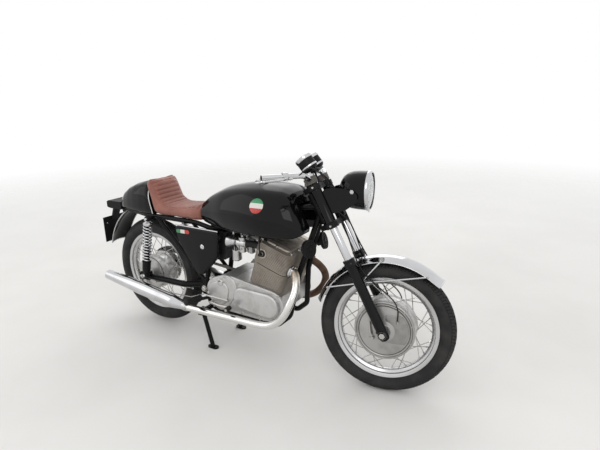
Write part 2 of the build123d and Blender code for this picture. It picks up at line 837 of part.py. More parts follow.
with BuildPart() as frame:
    with BuildSketch(steer.offset(head_tube_base)):
        Circle(head_tube_radius)
    extrude(amount=head_tube_length)
    for side in (1, -1):
        y = side * cradle_half_width
        add(
            tube(
                [
                    Vector(head_low.X, side * 12, head_low.Z),
                    Vector(cradle_front_x + 40, side * downtube_y, cradle_z + 280),
                    Vector(cradle_front_x + 6, side * (cradle_half_width - 14), cradle_z + 60),
                    Vector(cradle_front_x - 60, y, cradle_z),
                    Vector(cradle_rear_x, y, cradle_z),
                    Vector(pivot_x + 8, y, pivot_z + 20),
                    Vector(seat_front_x + 70, y, under_tank_z),
                ],
                tube_radius,
                bends=[60, 50, 44, cradle_bend * 0.8, 60],
            )
        )
        add(
            tube(
                [
                    Vector(head_high.X, side * 12, head_high.Z),
                    Vector(top_tube_bend.X, side * top_tube_y, top_tube_bend.Z),
                    Vector(seat_front_x + 190, side * top_tube_y, under_tank_z + 4),
                    Vector(seat_front_x + 60, side * seat_rail_half_width, under_tank_z),
                    Vector(seat_front_x - 40, side * seat_rail_half_width, seat_rail_z),
                    Vector(shock_top_x - 70, side * seat_rail_half_width, seat_rail_z),
                    Vector(loop_bar.X, side * loop_half_width, seat_rail_z),
                ],
                rail_radius,
                bends=[60, 60, 60, 60, 60],
            )
        )
        add(
            tube(
                [
                    Vector(pivot_x + 10, y, pivot_z + 30),
                    Vector(shock_top_x + 16, side * seat_rail_half_width, seat_rail_z),
                ],
                tube_radius - 3,
            )
        )
        add(tube([Vector(pivot_x, side * 86, pivot_z), Vector(pivot_x, side * 112, pivot_z)], 34))
        add(
            tube(
                [
                    Vector(shock_top_x, side * (seat_rail_half_width - 4), shock_top_z),
                    Vector(shock_top_x, side * (shock_half_spacing + 14), shock_top_z),
                ],
                8,
            )
        )
    add(
        tube(
            [
                Vector(stand_pivot_x, -stand_reach, stand_pivot_z),
                Vector(stand_pivot_x, stand_reach, stand_pivot_z),
            ],
            8,
        )
    )
    for side in (1, -1):
        y = side * (stand_half_width + 11)
        with BuildSketch(Plane(origin=(0, y - 4, 0), x_dir=(1, 0, 0), z_dir=(0, 1, 0))):
            with BuildLine():
                Polyline(
                    (stand_pivot_x - 16, -stand_pivot_z + 14),
                    (stand_pivot_x + 16, -stand_pivot_z + 14),
                    (stand_pivot_x + 66, -cradle_z - 10),
                    (stand_pivot_x + 20, -cradle_z - 10),
                    close=True,
                )
            make_face()
        extrude(amount=8)
        lug = Vector(cradle_rear_x + 6, side * (cradle_half_width - 4), cradle_z + 2)
        add(tube([lug, Vector(lug.X, y, lug.Z)], 9))
    # (ahead, up, half length) of each cross tube
    for x, z, half in (
        (engine_lug_x[0], cradle_z, cradle_half_width),
        (engine_lug_x[1], cradle_z, cradle_half_width),
        (seat_front_x + 70, under_tank_z, cradle_half_width),
        (shock_top_x + 80, seat_rail_z, seat_rail_half_width),
        (loop_bar.X, loop_bar.Z, loop_half_width + rail_radius),
    ):
        add(tube([Vector(x, -half, z), Vector(x, half, z)], cross_tube_radius))
    for x in engine_lug_x:
        for y in (-engine_lug_y, engine_lug_y):
            lug_top = case_floor - seated_gap
            lug = [(x - 16, cradle_z), (x + 16, cradle_z), (x + 11, lug_top), (x - 11, lug_top)]
            add(slab(lug, y - 4, y + 4))
    rubber = head_high + (top_tube_bend - head_high) * tank_rubber_share
    rubber_reach = Vector(0, tunnel_half_width - seated_gap, 0)
    add(tube([rubber - rubber_reach, rubber + rubber_reach], 9))
    with BuildSketch(steer.offset(head_tube_base)):
        Circle(stem_radius + seated_gap)
    extrude(amount=head_tube_length, mode=Mode.SUBTRACT)
    with BuildSketch(steer.offset(head_tube_base + bearing_length)):
        Circle(stem_radius + running_gap)
    extrude(amount=head_tube_length - 2 * bearing_length, mode=Mode.SUBTRACT)
save(frame.part, "frame")

# Swingarm: cross tube on the pivot, two arms, axle lugs and shock studs
with BuildPart() as swingarm:
    add(tube([Vector(pivot_x, -80, pivot_z), Vector(pivot_x, 80, pivot_z)], 22))
    for side in (1, -1):
        y = side * arm_half_spacing
        add(
            tube(
                [
                    Vector(pivot_x, side * 60, pivot_z),
                    Vector(pivot_x - 70, side * 74, pivot_z),
                    Vector(pivot_x - 140, y, pivot_z),
                    Vector(30, y, rear_axle_z),
                ],
                arm_radius,
                bends=[60, 60],
            )
        )
        with BuildSketch(Plane(origin=(0, y - 7, rear_axle_z), x_dir=(1, 0, 0), z_dir=(0, 1, 0))):
            SlotOverall(96, 48)
        extrude(amount=14)
        stud_end = Vector(shock_foot_x, side * (shock_half_spacing + 14), rear_axle_z + 24)
        add(tube([Vector(shock_foot_x, y, rear_axle_z + 24), stud_end], 8))
        add(tube([Vector(shock_foot_x, y, rear_axle_z), Vector(shock_foot_x, y, rear_axle_z + 34)], 12))
    with BuildSketch(Plane(origin=(0, -axle_reach, rear_axle_z), z_dir=(0, 1, 0))):
        Circle(axle_radius + axle_fit)
    extrude(amount=2 * axle_reach, mode=Mode.SUBTRACT)
save(Compound(swingarm.part.solids() + [rear_axle_rod.part.solid()]), "swingarm")

# Shock absorbers and their springs, each spring drawn as one sleeve with a ridge for each turn
shock_foot_z = rear_axle_z + 24
shock_top = Vector(shock_top_x, 0, shock_top_z)
shock_foot = Vector(shock_foot_x, 0, shock_foot_z)
shock_length = (shock_top - shock_foot).length
shock_up = (shock_top - shock_foot).normalized()
eye_radius = 17
eye_half_width = 12
spring_base = 92
spring_height = shock_length - 38 - spring_base
spring_pitch = (spring_height - 2 * seated_gap) / spring_turns
spring_outline = [
    (spring_radius - 2 * spring_wire_radius, spring_pitch * spring_turns),
    (spring_radius - 2 * spring_wire_radius, 0),
]
for turn in range(spring_turns):
    spring_outline += [
        (spring_radius - spring_wire_radius, spring_pitch * turn),
        (spring_radius, spring_pitch * (turn + 0.3)),
        (spring_radius, spring_pitch * (turn + 0.7)),
    ]
spring_outline.append((spring_radius - spring_wire_radius, spring_pitch * spring_turns))
shocks = []
springs = []
for side in (1, -1):
    foot = shock_foot + Vector(0, side * shock_half_spacing, 0)
    along = Plane(origin=foot, x_dir=(0, 1, 0), z_dir=shock_up)
    # (height, radius, length) of each step of the damper
    steps = (
        (20, 18, spring_base - 28),
        (spring_base - 8, spring_radius, 8),
        (10, 8, shock_length - 20),
        (spring_base + spring_height, spring_radius, 14),
    )
    with BuildPart() as shock:
        for height, radius, length in steps:
            with BuildSketch(along.offset(height)):
                Circle(radius)
            extrude(amount=length)
        for centre in (foot, foot + shock_up * shock_length):
            with BuildSketch(Plane(origin=centre - Vector(0, eye_half_width, 0), z_dir=(0, 1, 0))):
                Circle(eye_radius)
            extrude(amount=2 * eye_half_width)
        for centre in (foot, foot + shock_up * shock_length):
            with BuildSketch(Plane(origin=centre - Vector(0, 3 * eye_half_width, 0), z_dir=(0, 1, 0))):
                Circle(stud_radius + seated_gap)
            extrude(amount=6 * eye_half_width, mode=Mode.SUBTRACT)
    shocks.append(shock.part.solid())

    with BuildPart() as spring:
        with BuildSketch(
            Plane(
                origin=foot + shock_up * (spring_base + seated_gap),
                x_dir=(0, 1, 0),
                z_dir=Vector(0, 1, 0).cross(shock_up),
            )
        ):
            with BuildLine():
                Polyline(*spring_outline, close=True)
            make_face()
        revolve(axis=Axis(foot, shock_up))
    springs.append(spring.part.solid())
save(Compound(shocks), "shocks")
save(Compound(springs), "springs")

# Final drive's front sprocket
gearbox_sprocket = Vector(596, 0, 352)
gearbox_sprocket_radius = 40
gearbox_sprocket_teeth = 16
chain_depth = 13
chain_half_thickness = 8

# Engine: crankcase, covers, inclined fin-cut cylinders and head
case_top = cylinder_foot_z + 6
case_back_x = 548
case_front_x = cradle_front_x - 22
tilt_sin = math.sin(math.radians(cylinder_tilt))
tilt_cos = math.cos(math.radians(cylinder_tilt))
bank = Plane(
    origin=(cylinder_foot_x, 0, cylinder_foot_z),
    x_dir=(tilt_cos, 0, -tilt_sin),
    z_dir=(tilt_sin, 0, tilt_cos),
)
case_outline = [
    (case_back_x, case_floor + 26),
    (case_back_x + 26, case_floor),
    (case_front_x - 60, case_floor),
    (case_front_x, case_floor + 60),
    (case_front_x - 12, case_top - 50),
    (case_front_x - 50, case_top - 34),
    (case_back_x + 150, case_top + 30),
    (case_back_x + 60, case_top + 24),
    (case_back_x, case_top - 60),
]
with BuildPart() as crankcase:
    add(slab(case_outline, -cradle_half_width + 22, cradle_half_width - 22, corner=14))
    add(slab([(x, max(z, case_floor + 20)) for x, z in case_outline[2:7]], -case_half_width, case_half_width))
    add(slab([(x, max(z, case_floor + 20)) for x, z in case_outline], -case_half_width, 0))
    with BuildSketch(bank.offset(-60)):
        RectangleRounded(2 * cylinder_half_depth, 2 * cylinder_half_width - 20, 30)
    extrude(amount=60 - seated_gap)
    sprocket_room = gearbox_sprocket_radius + chain_depth + running_gap
    with BuildSketch(outward_plane(1, chain_y - chain_half_thickness - running_gap)):
        with Locations((gearbox_sprocket.X, -gearbox_sprocket.Z)):
            Circle(sprocket_room)
        with Locations((gearbox_sprocket.X - sprocket_room, -gearbox_sprocket.Z)):
            Rectangle(2 * sprocket_room, 2 * sprocket_room + 24)
    extrude(amount=case_half_width, mode=Mode.SUBTRACT)
    room_floor = chain_y - chain_half_thickness - running_gap
    add(disc(Vector(gearbox_sprocket.X, room_floor - 1, gearbox_sprocket.Z), (0, 1, 0), 17, 28))
    with BuildSketch(outward_plane(1, chain_y - sprocket_half_thickness)):
        with Locations((gearbox_sprocket.X, -gearbox_sprocket.Z)):
            Circle(gearbox_sprocket_radius - seated_gap)
            with PolarLocations(gearbox_sprocket_radius, gearbox_sprocket_teeth):
                Circle(tooth_depth * 0.62, mode=Mode.SUBTRACT)
    extrude(amount=2 * sprocket_half_thickness)
save(crankcase.part, "crankcase")

fin_count = int((barrel_length - 16) / fin_pitch)
with BuildPart() as cylinder_block:
    with BuildSketch(bank):
        RectangleRounded(2 * cylinder_half_depth - 24, 2 * cylinder_half_width - 24, 40)
    extrude(amount=barrel_length)
    for index in range(fin_count + 1):
        with BuildSketch(bank.offset(10 + index * fin_pitch)):
            RectangleRounded(2 * cylinder_half_depth, 2 * cylinder_half_width, 34)
        extrude(amount=fin_thickness)
save(cylinder_block.part, "cylinder_block")

head_base_height = barrel_length + seated_gap
head_fin_reach = 4
plug_back = -52
plug_height = 58
plug_recess_radius = 18
plug_recess_depth = 28
with BuildPart() as cylinder_head:
    with BuildSketch(bank.offset(head_base_height)):
        RectangleRounded(2 * cylinder_half_depth - 10, 2 * cylinder_half_width - 10, 36)
    extrude(amount=head_length - 34)
    for index in range(6):
        with BuildSketch(bank.offset(head_base_height + 6 + index * fin_pitch)):
            RectangleRounded(
                2 * (cylinder_half_depth + head_fin_reach),
                2 * (cylinder_half_width + head_fin_reach),
                34,
            )
        extrude(amount=fin_thickness)
    with BuildSketch(bank.offset(head_base_height + head_length - 34)):
        RectangleRounded(2 * cylinder_half_depth - 6, 2 * cylinder_half_width - 6, 34)
    with BuildSketch(bank.offset(head_base_height + head_length)):
        RectangleRounded(2 * cylinder_half_depth - 60, 2 * cylinder_half_width - 40, 30)
    loft()
    plug_end = cylinder_half_width + head_fin_reach + 1
    for side in (1, -1):
        plug = bank.from_local_coords(Vector(plug_back, side * plug_end, head_base_height + plug_height))
        add(disc(plug, (0, -side, 0), plug_recess_radius, plug_recess_depth), mode=Mode.SUBTRACT)
save(cylinder_head.part, "cylinder_head")

# Covers: (ahead, up, radius) circles of each outline
cover_joint = case_half_width + seated_gap
cover_thickness = 18
boss_thickness = cover_half_width - cover_joint - cover_thickness
gearbox_circles = ((590, 376, 76), (650, 410, 66), (600, 330, 60), (crank_x + 10, crank_z - 6, 78))
cover_filler = (614, 434)
cover_ridges = (((512, 338, 5), (657, 338, 5)), ((528, 300, 5), (640, 290, 5)))
kidney = ((crank_x - 93, crank_z + 20, 60), (crank_x + 55, crank_z + 10, 68))
with BuildPart() as right_engine_cover:
    add(rounded_plate(-1, cover_joint, cover_thickness, gearbox_circles + ((crank_x + 62, crank_z + 6, 84),)))
    add(rounded_plate(-1, cover_joint + cover_thickness, boss_thickness, kidney, taper=12))
    add(rounded_plate(-1, cover_joint + cover_thickness, 7, ((588, 372, 58), (600, 362, 58)), taper=20))
    for ridge in cover_ridges:
        add(rounded_plate(-1, cover_joint + cover_thickness - 1, 10, ridge, taper=10))
    filler = Vector(cover_filler[0], -cover_joint - cover_thickness - 1, cover_filler[1])
    add(disc(filler, (0, -1, 0), 17, 8))
    add(disc(filler - Vector(0, 8, 0), (0, 1, 0), 9, 7), mode=Mode.SUBTRACT)

left_case_circles = ((640, 404, 62), (crank_x + 40, crank_z + 14, 88), (620, 350, 70))
generator_circles = ((crank_x + 40, crank_z + 14, 74), (crank_x + 38, crank_z + 12, 74))
with BuildPart() as left_engine_cover:
    add(rounded_plate(1, cover_joint, cover_thickness, left_case_circles))
    add(rounded_plate(1, cover_joint + cover_thickness, boss_thickness, generator_circles, taper=10))
save(Compound([right_engine_cover.part.solid(), left_engine_cover.part.solid()]), "engine_covers")

# Carburettors, one to each cylinder: inlet stub, slide chamber, float bowl and open bell mouth
carb_y = 66
carb_back = 118
carb_rise = 6
chamber_radius = 20
bowl_radius = 27
bowl_back = 42
bell_start = 30
bell_length = 58
head_back = bank.from_local_coords(Vector(-cylinder_half_depth - head_fin_reach, 0, head_base_height + 44))
carb_x = head_back.X - carb_back
carb_z = head_back.Z + carb_rise
bell_outline = [
    (23, 0),
    (22, 18),
    (25, 36),
    (34, 53),
    (35, bell_length),
    (32, bell_length),
    (22, 37),
    (17, 18),
    (17, 0),
]
# (ahead of the slide, above the bore, radius, length) of the chamber, its cap, the bowl and its foot
carb_turnings = (
    (0, -48, chamber_radius, 72),
    (0, 24, chamber_radius + 3, 11),
    (-bowl_back, -98, bowl_radius, 58),
    (-bowl_back, -104, bowl_radius - 14, 8),
)
with BuildPart() as carburettors:
    for side in (1, -1):
        bore = Vector(carb_x, side * carb_y, carb_z)
        inlet = Vector(head_back.X, side * carb_y, head_back.Z) - bank.x_dir * seated_gap
        add(tube([inlet, inlet - bank.x_dir * 34, bore], 19, bends=40))
        add(tube([inlet, inlet - bank.x_dir * 8], 27))
        add(tube([bore + Vector(30, 0, 0), bore - Vector(bell_start + 2, 0, 0)], 23))
        add(lathe(bore - Vector(bell_start, 0, 0), Vector(-1, 0, 0), bell_outline))
        for ahead, above, radius, length in carb_turnings:
            add(disc(bore + Vector(ahead, 0, above), (0, 0, 1), radius, length))
        neck = [
            (carb_x - bowl_back, carb_z - 44),
            (carb_x + 12, carb_z - 44),
            (carb_x + 12, carb_z - 12),
            (carb_x - bowl_back, carb_z - 18),
        ]
        add(slab(neck, side * carb_y - 14, side * carb_y + 14))
save(carburettors.part, "carburettors")

# Airbox and battery between the side panels
airbox_back_x = 470
airbox_gap = 12
airbox_low = 510
airbox_high = under_tank_z - rail_radius - seated_gap
airbox_half_width = cradle_half_width - tube_radius - seated_gap
airbox_front_x = carb_x - bell_start - bell_length - airbox_gap
airbox_outline = [
    (airbox_back_x, airbox_low),
    (airbox_back_x, airbox_high),
    (airbox_front_x, airbox_high),
    (airbox_front_x, airbox_low + 20),
]
with BuildPart() as airbox:
    add(slab(airbox_outline, -airbox_half_width, airbox_half_width, corner=12))
save(airbox.part, "airbox")

# Exhaust: header from the head's front, low run beside the cradle, straight muffler
port = bank.from_local_coords(Vector(cylinder_half_depth + head_fin_reach, 0, head_base_height + 24))
port_y = 96
muffler_front_x = 405
muffler_back_x = -236
muffler_front_z = 258
muffler_back_z = 331
pipes = []
mufflers = []
for side in (1, -1):
    run = [
        Vector(port.X, side * port_y, port.Z) + bank.x_dir * seated_gap,
        Vector(port.X, side * port_y, port.Z) + bank.x_dir * 58,
        Vector(port.X + 54, side * (pipe_y - 34), port.Z - 110),
        Vector(port.X - 20, side * pipe_y, 330),
        Vector(905, side * pipe_y, 274),
        Vector(muffler_front_x, side * pipe_y, muffler_front_z),
    ]
    along = (
        Vector(muffler_back_x, 0, muffler_back_z) - Vector(muffler_front_x, 0, muffler_front_z)
    ).normalized()
    arrival = (run[-1] - run[-2]).normalized()
    joint = run[-1] + along * (seated_gap + (pipe_radius + 4) * along.cross(arrival).length)
    with BuildPart() as pipe:
        add(tube(run, pipe_radius, bends=[42, 60, 60, 90]))
        add(tube([run[0], run[0] + bank.x_dir * 9], 30))
    pipes.append(pipe.part.solid())
    reach = (Vector(muffler_back_x, 0, muffler_back_z) - Vector(muffler_front_x, 0, muffler_front_z)).length
    profile = [
        (0, 0),
        (0, pipe_radius + 3),
        (34, pipe_radius + 4),
        (110, muffler_radius),
        (reach * 0.55, muffler_radius),
        (reach, muffler_tip_radius),
        (reach, muffler_tip_radius - 3),
        (reach - 60, muffler_tip_radius - 3),
        (reach - 60, 0),
    ]
    with BuildPart() as muffler:
        with BuildSketch(Plane(origin=joint, x_dir=along, z_dir=(0, 1, 0))):
            with BuildLine():
                Polyline(*profile, close=True)
            make_face()
        revolve(axis=Axis(joint, along))
    mufflers.append(muffler.part.solid())
save(Compound(pipes), "exhaust_pipes")
save(Compound(mufflers), "mufflers")

# Tank: (share of its length, half width, top above its foot line, foot, tunnel roof) of each
# section. The sections lean back more towards the front, where they lie along the fork.
tank_back_x = seat_front_x
tank_foot_z = 718
tank_front_gap = 50
tank_front_line = on_fork(-tank_front_gap, 0, 0)
tank_front_x = tank_front_line.X - (tank_foot_z - tank_front_line.Z) * rake_sin / rake_cos
tank_length = tank_front_x - tank_back_x
tank_sections = (
    (0.0, 100, 118, 16, 44),
    (0.1, 118, 158, 4, 60),
    (0.3, 156, 204, 0, 92),
    (0.62, tank_half_width, 238, 4, 136),
    (0.88, tank_half_width - 16, 246, 14, 168),
    (0.97, tank_half_width - 44, 230, 34, 174),
    (1.0, tank_half_width - 74, 206, 60, 176),
)


def tank_plane(share):
    lean = math.radians(rake) * share
    return Plane(
        origin=(tank_back_x + tank_length * share, 0, tank_foot_z),
        x_dir=(0, 1, 0),
        z_dir=(math.cos(lean), 0, math.sin(lean)),
    )


def tank_section(share, half, top, bottom, inset):
    """One closed section of the tank, set in by the wall where it bounds the fuel."""
    half -= inset
    top -= inset
    bottom += inset
    shoulder = bottom + (top - bottom) * 0.55
    crest = top - (top - shoulder) * 0.26
    with BuildSketch(tank_plane(share)) as section:
        with BuildLine():
            ThreePointArc((half * 0.84, bottom), (half, (bottom + shoulder) / 2), (half * 0.95, shoulder))
            ThreePointArc((half * 0.95, shoulder), (half * 0.7, crest), (half * 0.3, top))
            ThreePointArc((half * 0.3, top), (0, top + 5), (-half * 0.3, top))
            ThreePointArc((-half * 0.3, top), (-half * 0.7, crest), (-half * 0.95, shoulder))
            ThreePointArc((-half * 0.95, shoulder), (-half, (bottom + shoulder) / 2), (-half * 0.84, bottom))
            Line((-half * 0.84, bottom), (half * 0.84, bottom))
        make_face()
    return section.sketch


tunnel_roof = []
for share, half, top, bottom, tunnel in tank_sections:
    roof = tank_plane(share).from_local_coords(Vector(0, tunnel, 0))
    tunnel_roof.append((roof.X, roof.Z))
tunnel_back = [(tank_back_x - 30, tunnel_roof[0][1])]
tunnel_front = [(tank_front_x + 30, tunnel_roof[-1][1]), (tank_front_x + 30, tank_foot_z - 20)]
tunnel_low = tunnel_front + [(tank_back_x - 30, tank_foot_z - 20)]
filler_plane = tank_plane(0.6)
filler_radius = 27
filler_height = 236
filler_floor = filler_plane.from_local_coords(Vector(0, filler_height - 30, 0))
filler_mouth = Plane(origin=filler_floor, x_dir=(0, 1, 0), z_dir=filler_plane.y_dir)
with BuildPart() as fuel_tank:
    loft([tank_section(share, half, top, bottom, 0) for share, half, top, bottom, tunnel in tank_sections])
    loft(
        [
            tank_section(0.01 + 0.98 * share, half, top, bottom, tank_wall)
            for share, half, top, bottom, tunnel in tank_sections
        ],
        mode=Mode.SUBTRACT,
    )
    with BuildPart(mode=Mode.PRIVATE) as tunnel_skin:
        add(slab(tunnel_back + tunnel_roof + tunnel_low, -tunnel_half_width, tunnel_half_width))
    with BuildPart(mode=Mode.PRIVATE) as tunnel_lining:
        loft(
            [tank_section(share, half, top, bottom, 0) for share, half, top, bottom, tunnel in tank_sections]
        )
        lifted = [(x, z + tank_wall) for x, z in tunnel_back + tunnel_roof] + tunnel_low
        add(slab(lifted, -tunnel_half_width - tank_wall, tunnel_half_width + tank_wall), mode=Mode.INTERSECT)
    add(tunnel_lining.part)
    add(tunnel_skin.part, mode=Mode.SUBTRACT)
    with BuildSketch(filler_mouth):
        Circle(filler_radius)
    extrude(amount=60, mode=Mode.SUBTRACT)
save(fuel_tank.part, "fuel_tank")

cap_height = 20
cap_foot = filler_plane.from_local_coords(Vector(0, filler_height + 13, 0))
cap_plane = Plane(origin=cap_foot, x_dir=(0, 1, 0), z_dir=filler_plane.y_dir)
with BuildPart() as fuel_cap:
    with BuildSketch(cap_plane):
        Circle(filler_radius + 9)
    extrude(amount=cap_height, taper=12)
    with BuildSketch(cap_plane.offset(-20)):
        Circle(filler_radius - seated_gap)
    extrude(amount=22)
save(fuel_cap.part, "fuel_cap")

# Single seat: one padded pad, flat ahead and turned up into a bolster against the hump.
# (lower x, lower z, upper x, upper z, half width) of each section, from the tank to the bolster
seat_base = seat_rail_z + rail_radius + seated_gap
seat_back_lean = 50 / 183
seat_edge_radius = 20
seat_sections = (
    (seat_front_x - 1, seat_base, seat_front_x - 1, 808, seat_half_width - 16),
    (seat_front_x - 22, seat_base, seat_front_x - 22, 804, seat_half_width - 3),
    (400, seat_base, 401, 796, seat_half_width),
    (330, seat_base, 331, 782, seat_half_width),
    (262, seat_base, 263, 775, seat_half_width),
    (205, seat_base, 208, 775, seat_half_width),
    (168, seat_base, 176, 784, seat_half_width),
    (140, seat_base + 1, 156, 800, seat_half_width - 1),
    (120, seat_base + 8, 143, 822, seat_half_width - 2),
    (107, seat_base + 38, 132, 848, seat_half_width - 3),
    (97, seat_base + 76, 124, 874, seat_half_width - 5),
    (86, seat_base + 116, 115, 900, seat_half_width - 8),
    (76, seat_base + 150, 104, 919, seat_half_width - 12),
    (69, seat_base + 172, 90, 929, seat_half_width - 22),
)


def seat_section(low_x, low_z, high_x, high_z, half):
    low = Vector(low_x, 0, low_z)
    high = Vector(high_x, 0, high_z)
    up = (high - low).normalized()
    height = (high - low).length
    corner = min(seat_edge_radius, height / 2 - 1)
    with BuildSketch(
        Plane(origin=(low + high) / 2, x_dir=(0, 1, 0), z_dir=Vector(0, 1, 0).cross(up))
    ) as section:
        RectangleRounded(2 * half, height, corner)
    return section.sketch


with BuildPart() as seat_pad:
    loft([seat_section(*row) for row in seat_sections], ruled=True)
save(seat_pad.part, "seat_pad")

# Tail hump: (ahead, half width, top) of each section, closed towards the back
hump_base = seat_base
hump_crease = 0.1
hump_sections = (
    (108, 113, 884),
    (60, 116, 902),
    (0, 113, 900),
    (-60, 106, 886),
    (-120, 95, 862),
    (-170, 82, 830),
    (-205, 68, 798),
    (hump_back_x, 48, 754),
)


def hump_section(x, half, top):
    shoulder = top - (top - hump_base) * hump_crease
    middle = (hump_base + top) / 2
    with BuildSketch(Plane(origin=(x, 0, 0), x_dir=(0, 1, 0), z_dir=(1, 0, 0))) as section:
        with BuildLine():
            Line((-half, hump_base), (half, hump_base))
            ThreePointArc((half, hump_base), (half * 0.98, middle), (half * 0.66, shoulder))
            ThreePointArc((half * 0.66, shoulder), (0, top), (-half * 0.66, shoulder))
            ThreePointArc((-half * 0.66, shoulder), (-half * 0.98, middle), (-half, hump_base))
        make_face()
    return section.sketch


hump_front_low = (seat_back_x - seated_gap, hump_base - 10)
hump_front_high = (seat_back_x - seated_gap - seat_back_lean * 261, hump_base + 261)
hump_front_far = (seat_back_x + 90, hump_front_high[1])
with BuildPart() as tail_hump:
    loft([hump_section(*row) for row in hump_sections])
    hump_cut = [hump_front_low, (hump_front_low[0], hump_base), hump_front_high, hump_front_far]
    hump_cut.append((hump_front_far[0], hump_front_low[1]))
    add(slab(hump_cut, -seat_half_width - 10, seat_half_width + 10), mode=Mode.SUBTRACT)
save(tail_hump.part, "tail_hump")

# Side panels: shells with a turned-in edge, outside the frame tubes
panel_outline = [(300, 700), (608, 698), (590, 560), (486, 444), (444, 444), (330, 600)]
panel_y = 148
panel_depth = 26
panel_wall = 3
panel_corner = 22
panel_edge = 6
panel_edge_taper = 35
panel_inset = panel_wall + panel_edge * math.tan(math.radians(panel_edge_taper))
panel_peg_heights = (510, 640)


def panel_block(side, distance, length, inset, taper=0):
    """The panel's outline set in by a distance and raised outwards."""
    with BuildPart() as block:
        with BuildSketch(outward_plane(side, distance)):
            with BuildLine():
                FilletPolyline(*[(x, -side * z) for x, z in panel_outline], radius=panel_corner, close=True)
            make_face()
            if inset:
                offset(amount=-inset, mode=Mode.REPLACE)
        extrude(amount=length, taper=taper)
    return block.part


side_panels = []
for side in (1, -1):
    panel_back = panel_y - panel_depth
    with BuildPart() as side_panel:
        add(panel_block(side, panel_back, panel_depth - panel_edge, 0))
        add(panel_block(side, panel_y - panel_edge, panel_edge, 0, panel_edge_taper))
        add(panel_block(side, panel_back, panel_depth - panel_wall, panel_inset), mode=Mode.SUBTRACT)
        for z in panel_peg_heights:
            share = (z - pivot_z - 20) / (under_tank_z - pivot_z - 20)
            x = pivot_x + 8 + share * (seat_front_x + 62 - pivot_x)
            peg_start = cradle_half_width + tube_radius + seated_gap
            with BuildSketch(outward_plane(side, peg_start)):
                with Locations((x, -side * z)):
                    Circle(6)
            extrude(amount=panel_y - panel_wall / 2 - peg_start)
    side_panels.append(side_panel.part.solid())
save(Compound(side_panels), "side_panels")

# Rear mudguard, lamp and plate bracket behind the tail
with BuildPart() as rear_mudguard:
    add(
        guard_strip(
            rear_guard_centre,
            rear_guard_radius,
            rear_tyre_width / 2 + rear_guard_overlap,
            rear_guard_start,
            rear_guard_end,
            rear_guard_drop,
        )
    )
save(rear_mudguard.part, "rear_mudguard")

plate_x = -rear_overhang + 8
plate_half_width = 82
plate_low = 480
plate_high = 640
lamp_front_x = -238
lamp_back_x = -368
lamp_half_width = 52
lamp_foot_angles = (134, 130)
lamp_foot_half_width = 24
lamp_low = 702
lamp_high = 750
plate_hole_radius = 3.2
plate_hole_spacing = 110
with BuildPart() as plate_holder:
    plate_outline = [
        (plate_x - 4, plate_low),
        (plate_x, plate_low),
        (plate_x, plate_high),
        (plate_x - 4, plate_high),
    ]
    add(slab(plate_outline, -plate_half_width, plate_half_width))
    with BuildSketch(Plane(origin=(plate_x, 0, plate_high - 40), x_dir=(0, 1, 0), z_dir=(-1, 0, 0))):
        with GridLocations(plate_hole_spacing, 1, 2, 1):
            Circle(plate_hole_radius)
    extrude(amount=4, mode=Mode.SUBTRACT)
    arm = [
        (plate_x - 1, plate_high - 20),
        (plate_x + 8, plate_high - 20),
        (lamp_front_x - 92, lamp_low - seated_gap),
        (lamp_front_x - 112, lamp_low - seated_gap),
    ]
    add(slab(arm, -24, 24))

lamp_outline = [
    (lamp_front_x, lamp_low),
    (lamp_front_x, lamp_high),
    (lamp_back_x + 16, lamp_high),
    (lamp_back_x, lamp_high - 8),
    (lamp_back_x, lamp_low + 6),
    (lamp_back_x + 28, lamp_low),
]
with BuildPart() as tail_lamp:
    add(slab(lamp_outline, -lamp_half_width, lamp_half_width, corner=5))
    foot = []
    for angle in lamp_foot_angles:
        outward = Vector(math.cos(math.radians(angle)), 0, math.sin(math.radians(angle)))
        spot = rear_guard_centre + outward * (rear_guard_radius + seated_gap)
        foot.append((spot.X, spot.Z))
    foot += [(foot[1][0], lamp_low + 10), (foot[0][0] - 20, lamp_low + 10)]
    add(slab(foot, -lamp_foot_half_width, lamp_foot_half_width))
save(Compound(plate_holder.part.solids() + tail_lamp.part.solids()), "tail_lamp")

# Footrests, gear lever and brake pedal
rest_x = 486
rest_z = 322
footrests = []
for side in (1, -1):
    inner = Vector(rest_x, side * (cradle_half_width + tube_radius + seated_gap), rest_z - 20)
    with BuildPart() as footrest:
        add(
            tube(
                [inner, Vector(rest_x, side * 168, rest_z - 8), Vector(rest_x - 8, side * 182, rest_z)],
                9,
                bends=10,
            )
        )
        add(tube([Vector(rest_x - 6, side * 178, rest_z), Vector(rest_x - 16, side * 276, rest_z + 12)], 17))
    footrests.append(footrest.part.solid())
save(Compound(footrests), "footrests")

lever_y = cover_half_width + 14
with BuildPart() as gear_lever:
    add(tube([Vector(560, -cover_joint - cover_thickness - 7.5, 318), Vector(560, -lever_y - 5, 318)], 8))
    add(
        tube(
            [Vector(560, -lever_y, 318), Vector(620, -lever_y - 6, 316), Vector(696, -lever_y - 10, 322)],
            6,
            bends=60,
        )
    )
    add(tube([Vector(696, -lever_y - 4, 322), Vector(696, -lever_y - 44, 322)], 10))

with BuildPart() as brake_pedal:
    add(
        tube([Vector(560, cover_joint + cover_thickness + seated_gap, 318), Vector(560, lever_y + 5, 318)], 8)
    )
    add(
        tube(
            [Vector(560, lever_y, 318), Vector(630, lever_y + 6, 314), Vector(706, lever_y + 10, 324)],
            6,
            bends=60,
        )
    )
    add(tube([Vector(706, lever_y + 4, 324), Vector(706, lever_y + 46, 324)], 11))
save(Compound([gear_lever.part.solid(), brake_pedal.part.solid()]), "foot_levers")

